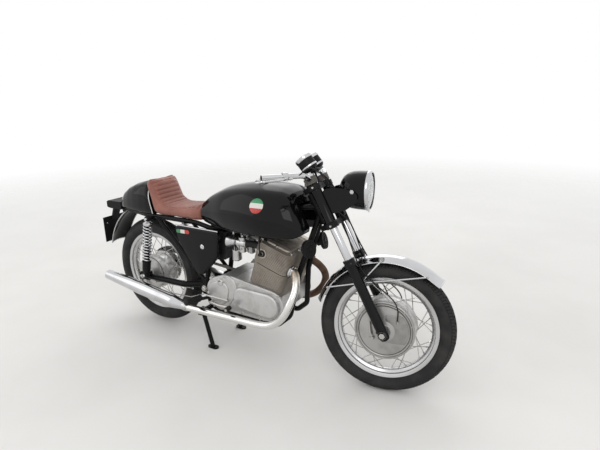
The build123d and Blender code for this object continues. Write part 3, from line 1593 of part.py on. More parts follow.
# Twin horns on the downtubes, below the head tube
horn_radius = 44
horn_back = 30
horn_drop = 153
horn_at = Vector(head_low.X - horn_back, 74, head_low.Z - horn_drop)
horn_face = Vector(0.94, 0.2, 0.28).normalized()
with BuildPart() as horns:
    for side in (1, -1):
        centre = Vector(horn_at.X, side * horn_at.Y, horn_at.Z)
        face = Vector(horn_face.X, side * horn_face.Y, horn_face.Z)
        add(disc(centre, face, horn_radius, 12))
        add(disc(centre - face * 26, face, horn_radius * 0.5, 30))
        share = (head_low.Z - horn_at.Z) / (head_low.Z - cradle_z - 280)
        tube_y = 12 + share * (downtube_y - 12)
        tube_x = head_low.X + share * (cradle_front_x + 40 - head_low.X)
        stalk_start = Vector(tube_x, side * (tube_y + tube_radius + 1.2), horn_at.Z)
        add(tube([stalk_start, Vector(tube_x, side * horn_at.Y, horn_at.Z)], 5))
save(horns.part, "horns")

# Chain: a closed loop round both sprockets, and the guard over its upper run
chain_outer = (
    (0, rear_axle_z, sprocket_radius + 2 * seated_gap + chain_depth),
    (gearbox_sprocket.X, gearbox_sprocket.Z, gearbox_sprocket_radius + chain_depth),
)
chain_inner = tuple((x, z, radius - chain_depth) for x, z, radius in chain_outer)
with BuildPart() as chain:
    add(rounded_plate(1, chain_y - chain_half_thickness, 2 * chain_half_thickness, chain_outer))
    add(
        rounded_plate(1, chain_y - chain_half_thickness - 1, 2 * chain_half_thickness + 2, chain_inner),
        mode=Mode.SUBTRACT,
    )
save(chain.part, "chain")

chain_room = 8
chain_guard_wall = 3
chain_guard_half_width = 16
chain_guard_front = 350
chain_guard_lug_x = (70, 270)
chain_guard_outer = tuple((x, z, radius + chain_room + chain_guard_wall) for x, z, radius in chain_outer)
chain_guard_inner = tuple((x, z, radius + chain_room) for x, z, radius in chain_outer)
chain_guard_right = chain_y - chain_guard_half_width
with BuildPart() as chain_guard:
    add(rounded_plate(1, chain_guard_right, 2 * chain_guard_half_width, chain_guard_outer))
    add(
        rounded_plate(
            1,
            chain_guard_right - 1,
            2 * chain_guard_half_width + 1 - chain_guard_wall,
            chain_guard_inner,
        ),
        mode=Mode.SUBTRACT,
    )
    below_guard = [
        (-300, 100),
        (-300, rear_axle_z + 36),
        (-60, rear_axle_z + 86),
        (chain_guard_front, 410),
        (chain_guard_front, 700),
        (900, 700),
        (900, 100),
    ]
    add(
        slab(below_guard, chain_guard_right - 1, chain_y + chain_guard_half_width + 1),
        mode=Mode.SUBTRACT,
    )
    for x in chain_guard_lug_x:
        guard_left = chain_y + chain_guard_half_width
        arm_z = rear_axle_z
        lug = [(x - 8, arm_z - 8), (x + 8, arm_z - 8), (x + 8, rear_axle_z + 94), (x - 8, rear_axle_z + 94)]
        add(slab(lug, guard_left - chain_guard_wall, guard_left))
        foot = [(x - 8, arm_z - 8), (x + 8, arm_z - 8), (x + 8, arm_z + 8), (x - 8, arm_z + 8)]
        add(slab(foot, guard_left - chain_guard_wall, arm_half_spacing - arm_radius - seated_gap))
save(chain_guard.part, "chain_guard")

# Centre stand: two legs with feet, one cross tube, turning on the cradle's brackets
foot_half_length = 34
foot_height = 8
with BuildPart() as centre_stand:
    pivot_reach = Vector(0, stand_half_width, 0)
    pivot = Vector(stand_pivot_x, 0, stand_pivot_z)
    add(tube([pivot - pivot_reach, pivot + pivot_reach], 13))
    for side in (1, -1):
        top = Vector(stand_pivot_x, side * (stand_half_width - 13), stand_pivot_z)
        ankle = Vector(stand_foot_x, side * stand_half_width, foot_height - 2)
        add(tube([top, ankle], stand_leg_radius))
        with BuildSketch(Plane.XY):
            with Locations((stand_foot_x + 2, side * stand_half_width)):
                SlotOverall(2 * foot_half_length, 34)
        extrude(amount=foot_height)
    with BuildSketch(Plane.XY.offset(-40)):
        with Locations((stand_foot_x, 0)):
            Rectangle(300, 4 * stand_half_width)
    extrude(amount=40, mode=Mode.SUBTRACT)
    with BuildSketch(outward_plane(1, -stand_half_width - 5)):
        with Locations((stand_pivot_x, -stand_pivot_z)):
            Circle(8.1)
    extrude(amount=2 * stand_half_width + 10, mode=Mode.SUBTRACT)
save(centre_stand.part, "centre_stand")
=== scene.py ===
import math

import bmesh
import bpy
from mathutils import Matrix, Vector, geometry


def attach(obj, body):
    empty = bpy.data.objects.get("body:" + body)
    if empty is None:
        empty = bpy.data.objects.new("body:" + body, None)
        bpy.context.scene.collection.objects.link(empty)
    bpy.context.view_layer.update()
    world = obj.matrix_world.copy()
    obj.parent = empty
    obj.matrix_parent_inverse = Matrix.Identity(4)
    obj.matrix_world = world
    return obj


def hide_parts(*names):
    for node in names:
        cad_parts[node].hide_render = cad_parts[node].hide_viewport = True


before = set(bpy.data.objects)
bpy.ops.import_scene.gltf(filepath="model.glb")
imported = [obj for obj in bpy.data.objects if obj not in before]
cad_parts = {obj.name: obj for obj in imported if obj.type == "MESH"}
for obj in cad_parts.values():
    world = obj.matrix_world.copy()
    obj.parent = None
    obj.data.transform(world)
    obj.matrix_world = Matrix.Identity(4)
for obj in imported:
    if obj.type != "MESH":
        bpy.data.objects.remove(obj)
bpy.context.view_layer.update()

bpy.context.scene.view_settings.view_transform = "Standard"
print("frame loaded")

# Sizes are in millimetres as the machine is drawn: x ahead of the rear axle, y to the left, z above
# the floor. Each place below turns such points into metres in the parked machine.
machine = {
    "wheelbase": 1460,
    "toMiddle": 693,
    "rake": 28,
    "forkTurn": 12.5,
    "forkOffset": 55,
    "legHalfSpacing": 95,
    "rearAxleHeight": 339,
    "frontTyreRadius": 316,
    "frontCrownRadius": 51.7,
}


def axes(ahead, left, up, foot):
    place = Matrix.Identity(4)
    for column, vector in enumerate((ahead, left, up, foot)):
        for row in range(3):
            place[row][column] = vector[row]
    return place


def aimed(centre, direction):            # a place whose own z lies along the direction
    turn = Vector(direction).to_track_quat("Z", "Y").to_matrix().to_4x4()
    return Matrix.Translation(centre) @ turn


def sideFace(side):                      # a place that looks out to one side: its x ahead, its y up
    return axes((1, 0, 0), (0, 0, 1), (0, side, 0), (0, 0, 0))


def turnOf(place):                       # a place's turn as three angles
    return Vector(place.to_3x3().normalized().to_euler())


def evenTurns(count):                    # the angles of evenly spaced points of a circle
    return [2 * math.pi * step / count for step in range(count)]


def around(radius, turn, along):         # a point at an angle round the z axis
    return Vector((radius * math.cos(turn), radius * math.sin(turn), along))


def aboutAxle(radius, turn, across=0):   # the same round the y axis, as on a wheel
    return Vector((radius * math.cos(turn), across, radius * math.sin(turn)))


def mirrored(profile):                   # the other half of a profile, backwards
    return [(-across, radius) for across, radius in reversed(profile)]


def ifRight(side, node):                 # two pieces stand for one node, and the right one names it
    return [node] if side < 0 else []


rake = math.radians(machine["rake"])
forkTurn = math.radians(machine["forkTurn"])
straightAhead = Vector((math.cos(rake), 0, math.sin(rake)))
forkUp = Vector((-math.sin(rake), 0, math.cos(rake)))
toLeft = Vector((0, 1, 0))
camber = math.sqrt(1 - (math.sin(forkTurn) * math.sin(rake)) ** 2)
frontAxleHeight = (
    machine["frontCrownRadius"]
    + (machine["frontTyreRadius"] - machine["frontCrownRadius"]) * camber
    + machine["forkOffset"] * math.sin(rake) * (1 - math.cos(forkTurn))
)
frontAxle = Vector((machine["wheelbase"], 0, frontAxleHeight))
rearAxle = Vector((0, 0, machine["rearAxleHeight"]))
onMachine = Matrix.Translation((-machine["toMiddle"] / 1000, 0, 0)) @ Matrix.Scale(0.001, 4)
steerPlane = axes(straightAhead, toLeft, forkUp, frontAxle - straightAhead * machine["forkOffset"])
onTurned = onMachine @ steerPlane @ Matrix.Rotation(forkTurn, 4, "Z") @ steerPlane.inverted()
onFork = onTurned @ steerPlane
onFrontWheel = onTurned @ Matrix.Translation(frontAxle)
onRearWheel = onMachine @ Matrix.Translation(rearAxle)
acrossAxle = Matrix.Rotation(math.radians(-90), 4, "X")     # its own z points left, along an axle


def steered(x, y, z):                    # a point of the straight fork: ahead and up along its legs
    return steerPlane @ Vector((x, y, z))


def added(name, data):
    piece = bpy.data.objects.new(name, data)
    bpy.context.scene.collection.objects.link(piece)
    return piece


def evaluated(piece):                    # a mesh with the piece's modifiers worked in
    return bpy.data.meshes.new_from_object(piece.evaluated_get(bpy.context.evaluated_depsgraph_get()))


def rounded(mesh, sharp):                # smooth faces, with sharper edges than this angle kept
    mesh.polygons.foreach_set("use_smooth", [True] * len(mesh.polygons))
    mesh.set_sharp_from_angle(angle=math.radians(sharp))
    return mesh


class Socket:                            # an output of a node, with the operators that the finishes use
    def __init__(self, tree, output):
        self.tree = tree
        self.output = output

    def maths(self, operation, first, second):
        made = self.tree.nodes.new("ShaderNodeMath")
        made.operation = operation
        for place, value in enumerate((first, second)):
            if isinstance(value, Socket):
                self.tree.links.new(value.output, made.inputs[place])
            else:
                made.inputs[place].default_value = value
        return Socket(self.tree, made.outputs[0])

    def __add__(self, other):
        return self.maths("ADD", self, other)

    def __radd__(self, other):
        return self.maths("ADD", other, self)

    def __sub__(self, other):
        return self.maths("SUBTRACT", self, other)

    def __mul__(self, other):
        return self.maths("MULTIPLY", self, other)

    def __truediv__(self, other):
        return self.maths("DIVIDE", self, other)

    def __pow__(self, other):
        return self.maths("POWER", self, other)


class Nodes:                             # a tree being built, for a finish or for geometry
    def __init__(self, tree):
        self.tree = tree

    def node(self, kind, settings=None, sockets=None, output=0):
        made = self.tree.nodes.new(kind)
        for key, value in (settings or {}).items():
            if key == "stops":
                ramp = made.color_ramp
                while len(ramp.elements) < len(value):
                    ramp.elements.new(0.5)
                for element, (position, colour) in zip(ramp.elements, value):
                    element.position = position
                    element.color = (*colour, 1)
            else:
                setattr(made, key, value)
        for key, value in (sockets or {}).items():
            if isinstance(value, Socket):
                self.tree.links.new(value.output, made.inputs[key])
            else:
                made.inputs[key].default_value = value
        return Socket(self.tree, made.outputs[output])


class Finish(Nodes):                     # one material: constants go straight on the shader
    def __init__(self, name, constants):
        self.material = bpy.data.materials.new(name)
        self.material.use_nodes = True
        super().__init__(self.material.node_tree)
        self.shader = self.tree.nodes["Principled BSDF"]
        for key, value in constants.items():
            self.shader.inputs[key].default_value = value
        self.spot = self.node("ShaderNodeTexCoord", output="Object")

    def noise(self, scale, detail, rough=0.5):
        sockets = {"Vector": self.spot, "Scale": scale, "Detail": detail, "Roughness": rough}
        return self.node("ShaderNodeTexNoise", {}, sockets)

    def cells(self, scale, feature="F1"):
        sockets = {"Vector": self.spot, "Scale": scale}
        return self.node("ShaderNodeTexVoronoi", {"feature": feature}, sockets)

    def spread(self, value, low, high, start=0.0, end=1.0):
        sockets = {0: value, 1: low, 2: high, 3: start, 4: end}
        return self.node("ShaderNodeMapRange", {"clamp": True}, sockets)

    def colours(self, factor, first, second):
        first = first if isinstance(first, Socket) else (*first, 1)
        second = second if isinstance(second, Socket) else (*second, 1)
        return self.node("ShaderNodeMix", {"data_type": "RGBA"}, {0: factor, 6: first, 7: second}, 2)

    def axis(self, spot, which):
        return self.node("ShaderNodeSeparateXYZ", {}, {0: spot}, which)

    def local(self, place):              # coordinates in metres along a place's own axes
        sockets = {"Vector": self.spot, "Location": place.translation, "Rotation": turnOf(place)}
        return self.node("ShaderNodeMapping", {"vector_type": "TEXTURE"}, sockets)

    def feed(self, **links):
        names = {"colour": "Base Color", "rough": "Roughness"}
        for key, value in links.items():
            self.tree.links.new(value.output, self.shader.inputs[names[key]])

    def bump(self, height, strength, depth):
        sockets = {"Strength": strength, "Distance": depth, "Height": height}
        normal = self.node("ShaderNodeBump", {}, sockets)
        self.tree.links.new(normal.output, self.shader.inputs["Normal"])


def paint(name, colour, dust, gloss, coat):
    look = Finish(name, {"Coat Weight": coat, "Coat Roughness": 0.05, "Specular IOR Level": 0.08})
    cloud = look.noise(6, 6)
    specks = look.noise(420, 3)
    grime = look.spread(cloud * 0.55 + specks * 0.45, 0.46, 0.66)
    look.feed(colour=look.colours(grime * 0.5, colour, dust), rough=gloss + grime * 0.16)
    look.bump(look.noise(38, 2), 0.02, 0.002)
    return look.material


def bright(name, colour, shadow, gloss, pitting):
    look = Finish(name, {"Metallic": 1.0})
    cloud = look.noise(9, 6)
    pits = look.spread(look.noise(310, 5), 0.62, 0.72) * pitting
    film = look.spread(cloud, 0.4, 0.7)
    look.feed(
        colour=look.colours(film * 0.35 + pits, colour, shadow),
        rough=gloss + film * 0.1 + pits * 0.3,
    )
    look.bump(look.noise(60, 2), 0.03, 0.001)
    return look.material


def casting(name, colour, grime, gloss, grain):
    look = Finish(name, {"Metallic": 0.82})
    cloud = look.noise(7, 7, rough=0.6)
    grit = look.noise(900, 3)
    stain = look.spread(cloud * 0.7 + look.noise(42, 5) * 0.3, 0.44, 0.66)
    look.feed(
        colour=look.colours(stain, colour, grime),
        rough=look.spread(grit * 0.4 + stain * 0.6, 0, 1, gloss, gloss + 0.25),
    )
    look.bump(grit * 0.6 + look.noise(140, 4) * 0.4, grain, 0.0012)
    return look.material


def turnedAlloy(name, place):            # fine rings left by a lathe, about a place's own y
    look = Finish(name, {"Metallic": 0.9})
    spot = look.local(place)
    outward = (look.axis(spot, 0) ** 2 + look.axis(spot, 2) ** 2) ** 0.5
    rings = look.node("ShaderNodeTexNoise", {"noise_dimensions": "1D"},
                      {"W": outward, "Scale": 900, "Detail": 3})
    cloud = look.noise(14, 6)
    stain = look.spread(cloud, 0.45, 0.72)
    look.feed(
        colour=look.colours(stain * 0.6, (0.42, 0.415, 0.405), (0.27, 0.26, 0.245)),
        rough=0.3 + rings * 0.18 + stain * 0.12,
    )
    look.bump(rings, 0.12, 0.0006)
    return look.material


def rubber(name, colour, dust, gloss):
    look = Finish(name, {"Specular IOR Level": 0.25})
    cloud = look.noise(16, 7)
    film = look.spread(cloud, 0.42, 0.7)
    look.feed(colour=look.colours(film, colour, dust), rough=gloss + look.noise(60, 3) * 0.15)
    look.bump(look.noise(1100, 3), 0.25, 0.0005)
    return look.material


def hide(name):                          # tan leather: pores, creases and a paler rubbed surface
    look = Finish(name, {"Coat Weight": 0.12, "Coat Roughness": 0.35, "Sheen Weight": 0.15})
    pores = look.cells(620)
    grain = look.cells(260, "DISTANCE_TO_EDGE")
    cloud = look.noise(8, 6)
    rubbed = look.spread(cloud, 0.35, 0.7)
    darkened = look.spread(look.noise(30, 5), 0.3, 0.65)
    base = look.colours(rubbed, (0.205, 0.062, 0.040), (0.315, 0.118, 0.082))
    look.feed(
        colour=look.colours(darkened * 0.3, base, (0.15, 0.040, 0.024)),
        rough=0.40 + look.noise(90, 4) * 0.18,
    )
    look.bump(grain * 5 + pores * 0.4, 0.35, 0.0008)
    return look.material


def heated(name, cool, burnt, centre, reach):    # a header that has coloured towards the port
    look = Finish(name, {"Metallic": 1.0})
    near = look.node(
        "ShaderNodeVectorMath", {"operation": "DISTANCE"}, {0: look.spot, 1: centre}, "Value"
    )
    heat = look.spread(near, 0.03, reach, 1, 0)
    cloud = look.noise(26, 6)
    burn = look.spread(heat * 0.8 + cloud * 0.5 - 0.25, 0.1, 0.75)
    scale = look.spread(look.noise(120, 5), 0.5, 0.7) * burn
    look.feed(
        colour=look.colours(scale * 0.5, look.colours(burn, cool, burnt), (0.09, 0.055, 0.035)),
        rough=0.12 + burn * 0.28 + cloud * 0.06,
    )
    look.bump(look.noise(200, 4), 0.05, 0.0008)
    return look.material


def clearGlass(name, tint, gloss):
    look = Finish(name, {"Transmission Weight": 1.0, "IOR": 1.45, "Base Color": (*tint, 1)})
    look.feed(rough=gloss + look.noise(300, 3) * 0.04)
    return look.material


def redLens(name):
    look = Finish(name, {"IOR": 1.49, "Coat Weight": 0.5, "Coat Roughness": 0.05})
    ribs = look.cells(190)
    look.feed(colour=look.colours(ribs, (0.20, 0.004, 0.004), (0.38, 0.012, 0.010)), rough=0.12 + ribs * 0.2)
    look.bump(ribs, 0.3, 0.001)
    return look.material


def threeBands(name, place, reach, along):       # green, white and red across a place's own axis
    look = Finish(name, {"Coat Weight": 0.4, "Coat Roughness": 0.1})
    across = look.axis(look.local(place), along) / (2 * reach) + 0.5
    stops = [(0.0, (0.42, 0.018, 0.014)), (0.34, (0.62, 0.61, 0.57)), (0.67, (0.010, 0.21, 0.075))]
    bands = look.node("ShaderNodeValToRGB", {"stops": stops}, {0: across})
    look.tree.nodes[-1].color_ramp.interpolation = "CONSTANT"
    worn = look.spread(look.noise(260, 4), 0.6, 0.75)
    look.feed(colour=look.colours(worn * 0.4, bands, (0.45, 0.43, 0.40)), rough=0.25 + worn * 0.3)
    return look.material


finishes = {
    "blackPaint": paint("blackPaint", (0.0035, 0.0035, 0.004), (0.009, 0.008, 0.008), 0.06, 0.24),
    "framePaint": paint("framePaint", (0.006, 0.006, 0.006), (0.016, 0.014, 0.013), 0.24, 0.06),
    "satinBlack": paint("satinBlack", (0.011, 0.011, 0.012), (0.020, 0.018, 0.017), 0.36, 0.02),
    "chrome": bright("chrome", (0.61, 0.615, 0.63), (0.38, 0.37, 0.36), 0.07, 0.25),
    "steel": bright("steel", (0.50, 0.49, 0.47), (0.22, 0.19, 0.16), 0.24, 0.4),
    "polishedAlloy": bright("polishedAlloy", (0.58, 0.58, 0.585), (0.37, 0.36, 0.35), 0.24, 0.2),
    "castAlloy": casting("castAlloy", (0.56, 0.555, 0.55), (0.43, 0.42, 0.405), 0.30, 0.15),
    "finAlloy": casting("finAlloy", (0.50, 0.455, 0.40), (0.34, 0.29, 0.245), 0.46, 0.3),
    "darkCasting": casting("darkCasting", (0.17, 0.16, 0.15), (0.09, 0.08, 0.07), 0.5, 0.35),
    "plateCap": casting("plateCap", (0.32, 0.315, 0.305), (0.24, 0.23, 0.215), 0.36, 0.2),
    "rust": casting("rust", (0.165, 0.10, 0.065), (0.08, 0.055, 0.042), 0.62, 0.5),
    "frontPlate": turnedAlloy("frontPlateAlloy", onFrontWheel),
    "tyre": rubber("tyreRubber", (0.016, 0.016, 0.017), (0.034, 0.032, 0.030), 0.62),
    "rubber": rubber("blackRubber", (0.010, 0.010, 0.010), (0.022, 0.021, 0.020), 0.55),
    "plastic": rubber("blackPlastic", (0.012, 0.012, 0.013), (0.026, 0.025, 0.025), 0.38),
    "leather": hide("tanLeather"),
    "glass": clearGlass("lampGlass", (0.96, 0.97, 0.97), 0.02),
    "redLens": redLens("tailLens"),
    "chain": bright("chainSteel", (0.25, 0.23, 0.21), (0.09, 0.075, 0.06), 0.38, 0.6),
}
print("finishes made")


class Shape:                             # the points and faces of one piece, before it is placed
    def __init__(self):
        self.points = []
        self.faces = []
        self.looks = []

    def skin(self, rings, look=0, ends=(True, True), loop=False):
        start = len(self.points)
        count = len(rings[0])
        for ring in rings:
            self.points.extend(ring)
        for row in range(len(rings) if loop else len(rings) - 1):
            low = start + row * count
            high = start + (row + 1) % len(rings) * count
            for step in range(count):
                after = (step + 1) % count
                self.faces.append((low + step, low + after, high + after, high + step))
                self.looks.append(look)
        for closed, first in ((ends[0], start), (ends[1], start + (len(rings) - 1) * count)):
            if closed and not loop:
                self.faces.append(tuple(range(first, first + count)))
                self.looks.append(look)

    def lathe(self, profile, place, look=0, *, sides, loop=False):      # (along, radius) pairs
        rings = []
        for along, radius in profile:
            rings.append([place @ around(radius, turn, along) for turn in evenTurns(sides)])
        self.skin(rings, look, (profile[0][1] > 0.01, profile[-1][1] > 0.01), loop)

    def rod(self, path, radius, look=0, sides=16, flat=1.0):
        last = len(path) - 1
        side = None
        rings = []
        for index, spot in enumerate(path):
            along = (path[min(index + 1, last)] - path[max(index - 1, 0)]).normalized()
            side = side or along.orthogonal()
            side = (side - along * side.dot(along)).normalized()
            other = along.cross(side)
            wide = radius(index / last) if callable(radius) else radius
            rings.append([spot + (side * math.cos(turn) + other * math.sin(turn) * flat) * wide
                          for turn in evenTurns(sides)])
        self.skin(rings, look)

    def raised(self, outline, place, low, high, edge, look=0):
        # A face with a rounded edge; the outline is in the place's x and y, and low and high along its z
        rings = [[place @ Vector((x, y, low)) for x, y in outline]]
        steps = 5
        for step in range(steps + 1):
            angle = math.pi / 2 * step / steps
            inner = shrunk(outline, edge * (1 - math.cos(angle)))
            height = high - edge * (1 - math.sin(angle))
            rings.append([place @ Vector((x, y, height)) for x, y in inner])
        self.skin(rings, look)

    def screw(self, place, radius, height, look=0):
        head = [(0, radius), (height * 0.75, radius), (height, radius * 0.82)]
        self.lathe(head, place, look, sides=6)


def shrunk(outline, distance):           # each point moved inwards, square to the outline
    count = len(outline)
    moved = []
    for index in range(count):
        before = Vector(outline[index - 1])
        after = Vector(outline[(index + 1) % count])
        along = (after - before).normalized()
        moved.append((outline[index][0] - along.y * distance, outline[index][1] + along.x * distance))
    return moved


def hullOf(circles, count):              # an even outline, anticlockwise, round (x, y, radius) circles
    cloud = []
    for x, y, radius in circles:
        cloud += [Vector((x + radius * math.cos(a), y + radius * math.sin(a))) for a in evenTurns(72)]
    ring = [cloud[index] for index in geometry.convex_hull_2d(cloud)]
    return evenly(ring, count)


def evenly(ring, count):
    lengths = [(ring[(i + 1) % len(ring)] - ring[i]).length for i in range(len(ring))]
    pitch = sum(lengths) / count
    spaced = []
    index, walked = 0, 0.0
    for step in range(count):
        while walked + lengths[index] < step * pitch:
            walked += lengths[index]
            index += 1
        share = (step * pitch - walked) / lengths[index]
        spaced.append(tuple(ring[index].lerp(ring[(index + 1) % len(ring)], share)))
    return spaced


def cornered(points, radius, count=96):  # a polygon with rounded corners, as an even outline
    corners = [Vector((x, y, 0)) for x, y in points]
    wrapped = [corners[-1]] + corners + [corners[0]]
    ring = []
    for before, corner, after in zip(wrapped, wrapped[1:], wrapped[2:]):
        ring += arcRound(before, corner, after, radius, 8)
    return evenly([spot.to_2d() for spot in ring], count)


def arcRound(before, corner, after, radius, steps):
    inward = (before - corner).normalized()
    outward = (after - corner).normalized()
    half = inward.angle(outward) / 2
    reach = min(radius / math.tan(half), 0.49 * min((before - corner).length, (after - corner).length))
    radius = reach * math.tan(half)
    centre = corner + (inward + outward).normalized() * (radius / math.sin(half))
    first = corner + inward * reach - centre
    last = corner + outward * reach - centre
    turn = first.angle(last)
    pivot = first.cross(last)
    return [centre + Matrix.Rotation(turn * step / steps, 3, pivot) @ first for step in range(steps + 1)]


def bent(points, bends, steps=10):       # straight runs joined by arcs
    points = [Vector(spot) for spot in points]
    path = [points[0]]
    for before, corner, after, radius in zip(points, points[1:], points[2:], bends):
        path += arcRound(before, corner, after, radius, steps)
    return path + [points[-1]]


def through(points, steps):              # a smooth line through the points
    points = [Vector(spot) for spot in points]
    last = len(points) - 1
    line = []
    for index in range(last):
        a, b, c, d = (points[min(max(index + offset, 0), last)] for offset in (-1, 0, 1, 2))
        bow, twist = a * 2 - b * 5 + c * 4 - d, b * 3 - a - c * 3 + d
        for step in range(steps):
            t = step / steps
            line.append((b * 2 + (c - a) * t + bow * t**2 + twist * t**3) / 2)
    return line + [points[-1]]


def meshOf(shape, name, place, looks, sharp=38):
    mesh = bpy.data.meshes.new(name)
    mesh.from_pydata([place @ Vector(spot) for spot in shape.points], [], shape.faces)
    for look in looks:
        mesh.materials.append(look)
    mesh.polygons.foreach_set("material_index", shape.looks)
    work = bmesh.new()
    work.from_mesh(mesh)
    bmesh.ops.remove_doubles(work, verts=work.verts, dist=1e-5)
    bmesh.ops.recalc_face_normals(work, faces=work.faces)
    work.to_mesh(mesh)
    work.free()
    return rounded(mesh, sharp)


def settle(mesh, name, body, stands):
    piece = added(name, mesh)
    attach(piece, body)
    if stands:
        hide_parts(*stands)
    return piece


def place(shape, name, where, look, body, slot, stands=(), sharp=38):
    looks = look if isinstance(look, (list, tuple)) else [look]
    mesh = meshOf(shape, name, where, [finishes[key] for key in looks], sharp)
    return settle(mesh, name, body, stands)


def onChassis(shape, name, look, slot, stands=(), sharp=38):
    return place(shape, name, onMachine, look, "chassis", slot, stands, sharp)


def onSteering(shape, name, look, slot, stands=(), sharp=38):
    return place(shape, name, onTurned, look, "steering", slot, stands, sharp)


# Geometry Nodes trees for what repeats. Sizes are inputs with names, and each ends in plain mesh.
class Growth(Nodes):
    def __init__(self, name):
        super().__init__(bpy.data.node_groups.new(name, "GeometryNodeTree"))
        self.entry = self.tree.nodes.new("NodeGroupInput")
        self.exit = self.tree.nodes.new("NodeGroupOutput")
        self.tree.interface.new_socket(name="Geometry", in_out="OUTPUT", socket_type="NodeSocketGeometry")

    def size(self, name, kind):
        self.tree.interface.new_socket(name=name, in_out="INPUT", socket_type="NodeSocket" + kind)
        return Socket(self.tree, self.entry.outputs[name])

    def finish(self, instances, centre, turn, material):
        tilt = self.node("FunctionNodeEulerToRotation", {}, {0: turn})
        sockets = {"Geometry": instances, "Translation": centre, "Rotation": tilt}
        moved = self.node("GeometryNodeTransform", {}, sockets)
        solid = self.node("GeometryNodeRealizeInstances", {}, {"Geometry": moved})
        dressed = self.node("GeometryNodeSetMaterial", {}, {"Geometry": solid, "Material": material})
        self.tree.links.new(dressed.output, self.exit.inputs[0])

    def part(self):
        return self.node("GeometryNodeObjectInfo", {"transform_space": "ORIGINAL"},
                         {"Object": self.size("Part", "Object")}, "Geometry")

    def grow(self, name, values):
        holder = added(name, bpy.data.meshes.new(name))
        modifier = holder.modifiers.new("Nodes", "NODES")
        modifier.node_group = self.tree
        for item in self.tree.interface.items_tree:
            if item.in_out == "INPUT":
                modifier[item.identifier] = values[item.name]
        mesh = evaluated(holder)
        bpy.data.objects.remove(holder)
        return rounded(mesh, 38)


def aroundAxleTree():                    # copies of a part turned evenly about its own y
    tree = Growth("aroundAxle")
    count = tree.size("Count", "Int")
    centre = tree.size("Centre", "Vector")
    turn = tree.size("Turn", "Vector")
    material = tree.size("Finish", "Material")
    line = tree.node("GeometryNodeMeshLine", {}, {"Count": count, "Offset": (0, 0, 0)})
    angle = tree.node("GeometryNodeInputIndex") * (2 * math.pi) / count
    spin = tree.node("ShaderNodeCombineXYZ", {}, {1: angle})
    rotation = tree.node("FunctionNodeEulerToRotation", {}, {0: spin})
    sockets = {"Points": line, "Instance": tree.part(), "Rotation": rotation}
    ring = tree.node("GeometryNodeInstanceOnPoints", {}, sockets)
    tree.finish(ring, centre, turn, material)
    return tree


def coilTree():                          # a round wire wound into a spring
    tree = Growth("coil")
    turns = tree.size("Turns", "Float")
    radius = tree.size("Radius", "Float")
    wire = tree.size("Wire", "Float")
    height = tree.size("Height", "Float")
    centre = tree.size("Centre", "Vector")
    turn = tree.size("Turn", "Vector")
    material = tree.size("Finish", "Material")
    sockets = {"Resolution": 28, "Rotations": turns, "Start Radius": radius, "End Radius": radius,
               "Height": height}
    line = tree.node("GeometryNodeCurveSpiral", {}, sockets)
    section = tree.node("GeometryNodeCurvePrimitiveCircle", {}, {"Resolution": 12, "Radius": wire})
    sockets = {"Curve": line, "Profile Curve": section, "Fill Caps": True}
    tube = tree.node("GeometryNodeCurveToMesh", {}, sockets)
    tree.finish(tube, centre, turn, material)
    return tree


trees = {"axle": aroundAxleTree(), "coil": coilTree()}


def wheelCopies(wheel, label, shape, count, look, stands=()):
    name = wheel["name"] + label
    source = added(name + "Part", meshOf(shape, name + "Part", Matrix.Scale(0.001, 4), []))
    mesh = trees["axle"].grow(name, {
        "Part": source, "Finish": finishes[look], "Count": count,
        "Centre": wheel["place"].translation, "Turn": turnOf(wheel["place"]),
    })
    bpy.data.objects.remove(source)
    settle(mesh, name, wheel["body"], stands)


# Wheels: tyre with cut tread blocks, shouldered rim, crossed spokes in their nipples
rimSizes = {"bead": 228.6, "wall": 3, "well": 16, "lip": 244}
wheels = (
    {"name": "front", "place": onFrontWheel, "body": "front_wheel", "radius": machine["frontTyreRadius"],
     "width": 94, "rimHalf": 29, "flange": 143, "flangeAt": 34, "blocks": 62},
    {"name": "rear", "place": onRearWheel, "body": "rear_wheel", "radius": 327,
     "width": 106, "rimHalf": 33, "flange": 107, "flangeAt": 30, "blocks": 58},
)
tread = {"depth": 6, "shoulder": 0.82, "drop": 0.42}


def crownAt(wheel, y):                   # radius of the tread's surface at a distance from the middle
    half = wheel["width"] / 2
    return wheel["radius"] - half * tread["drop"] * (y / (half * tread["shoulder"])) ** 2


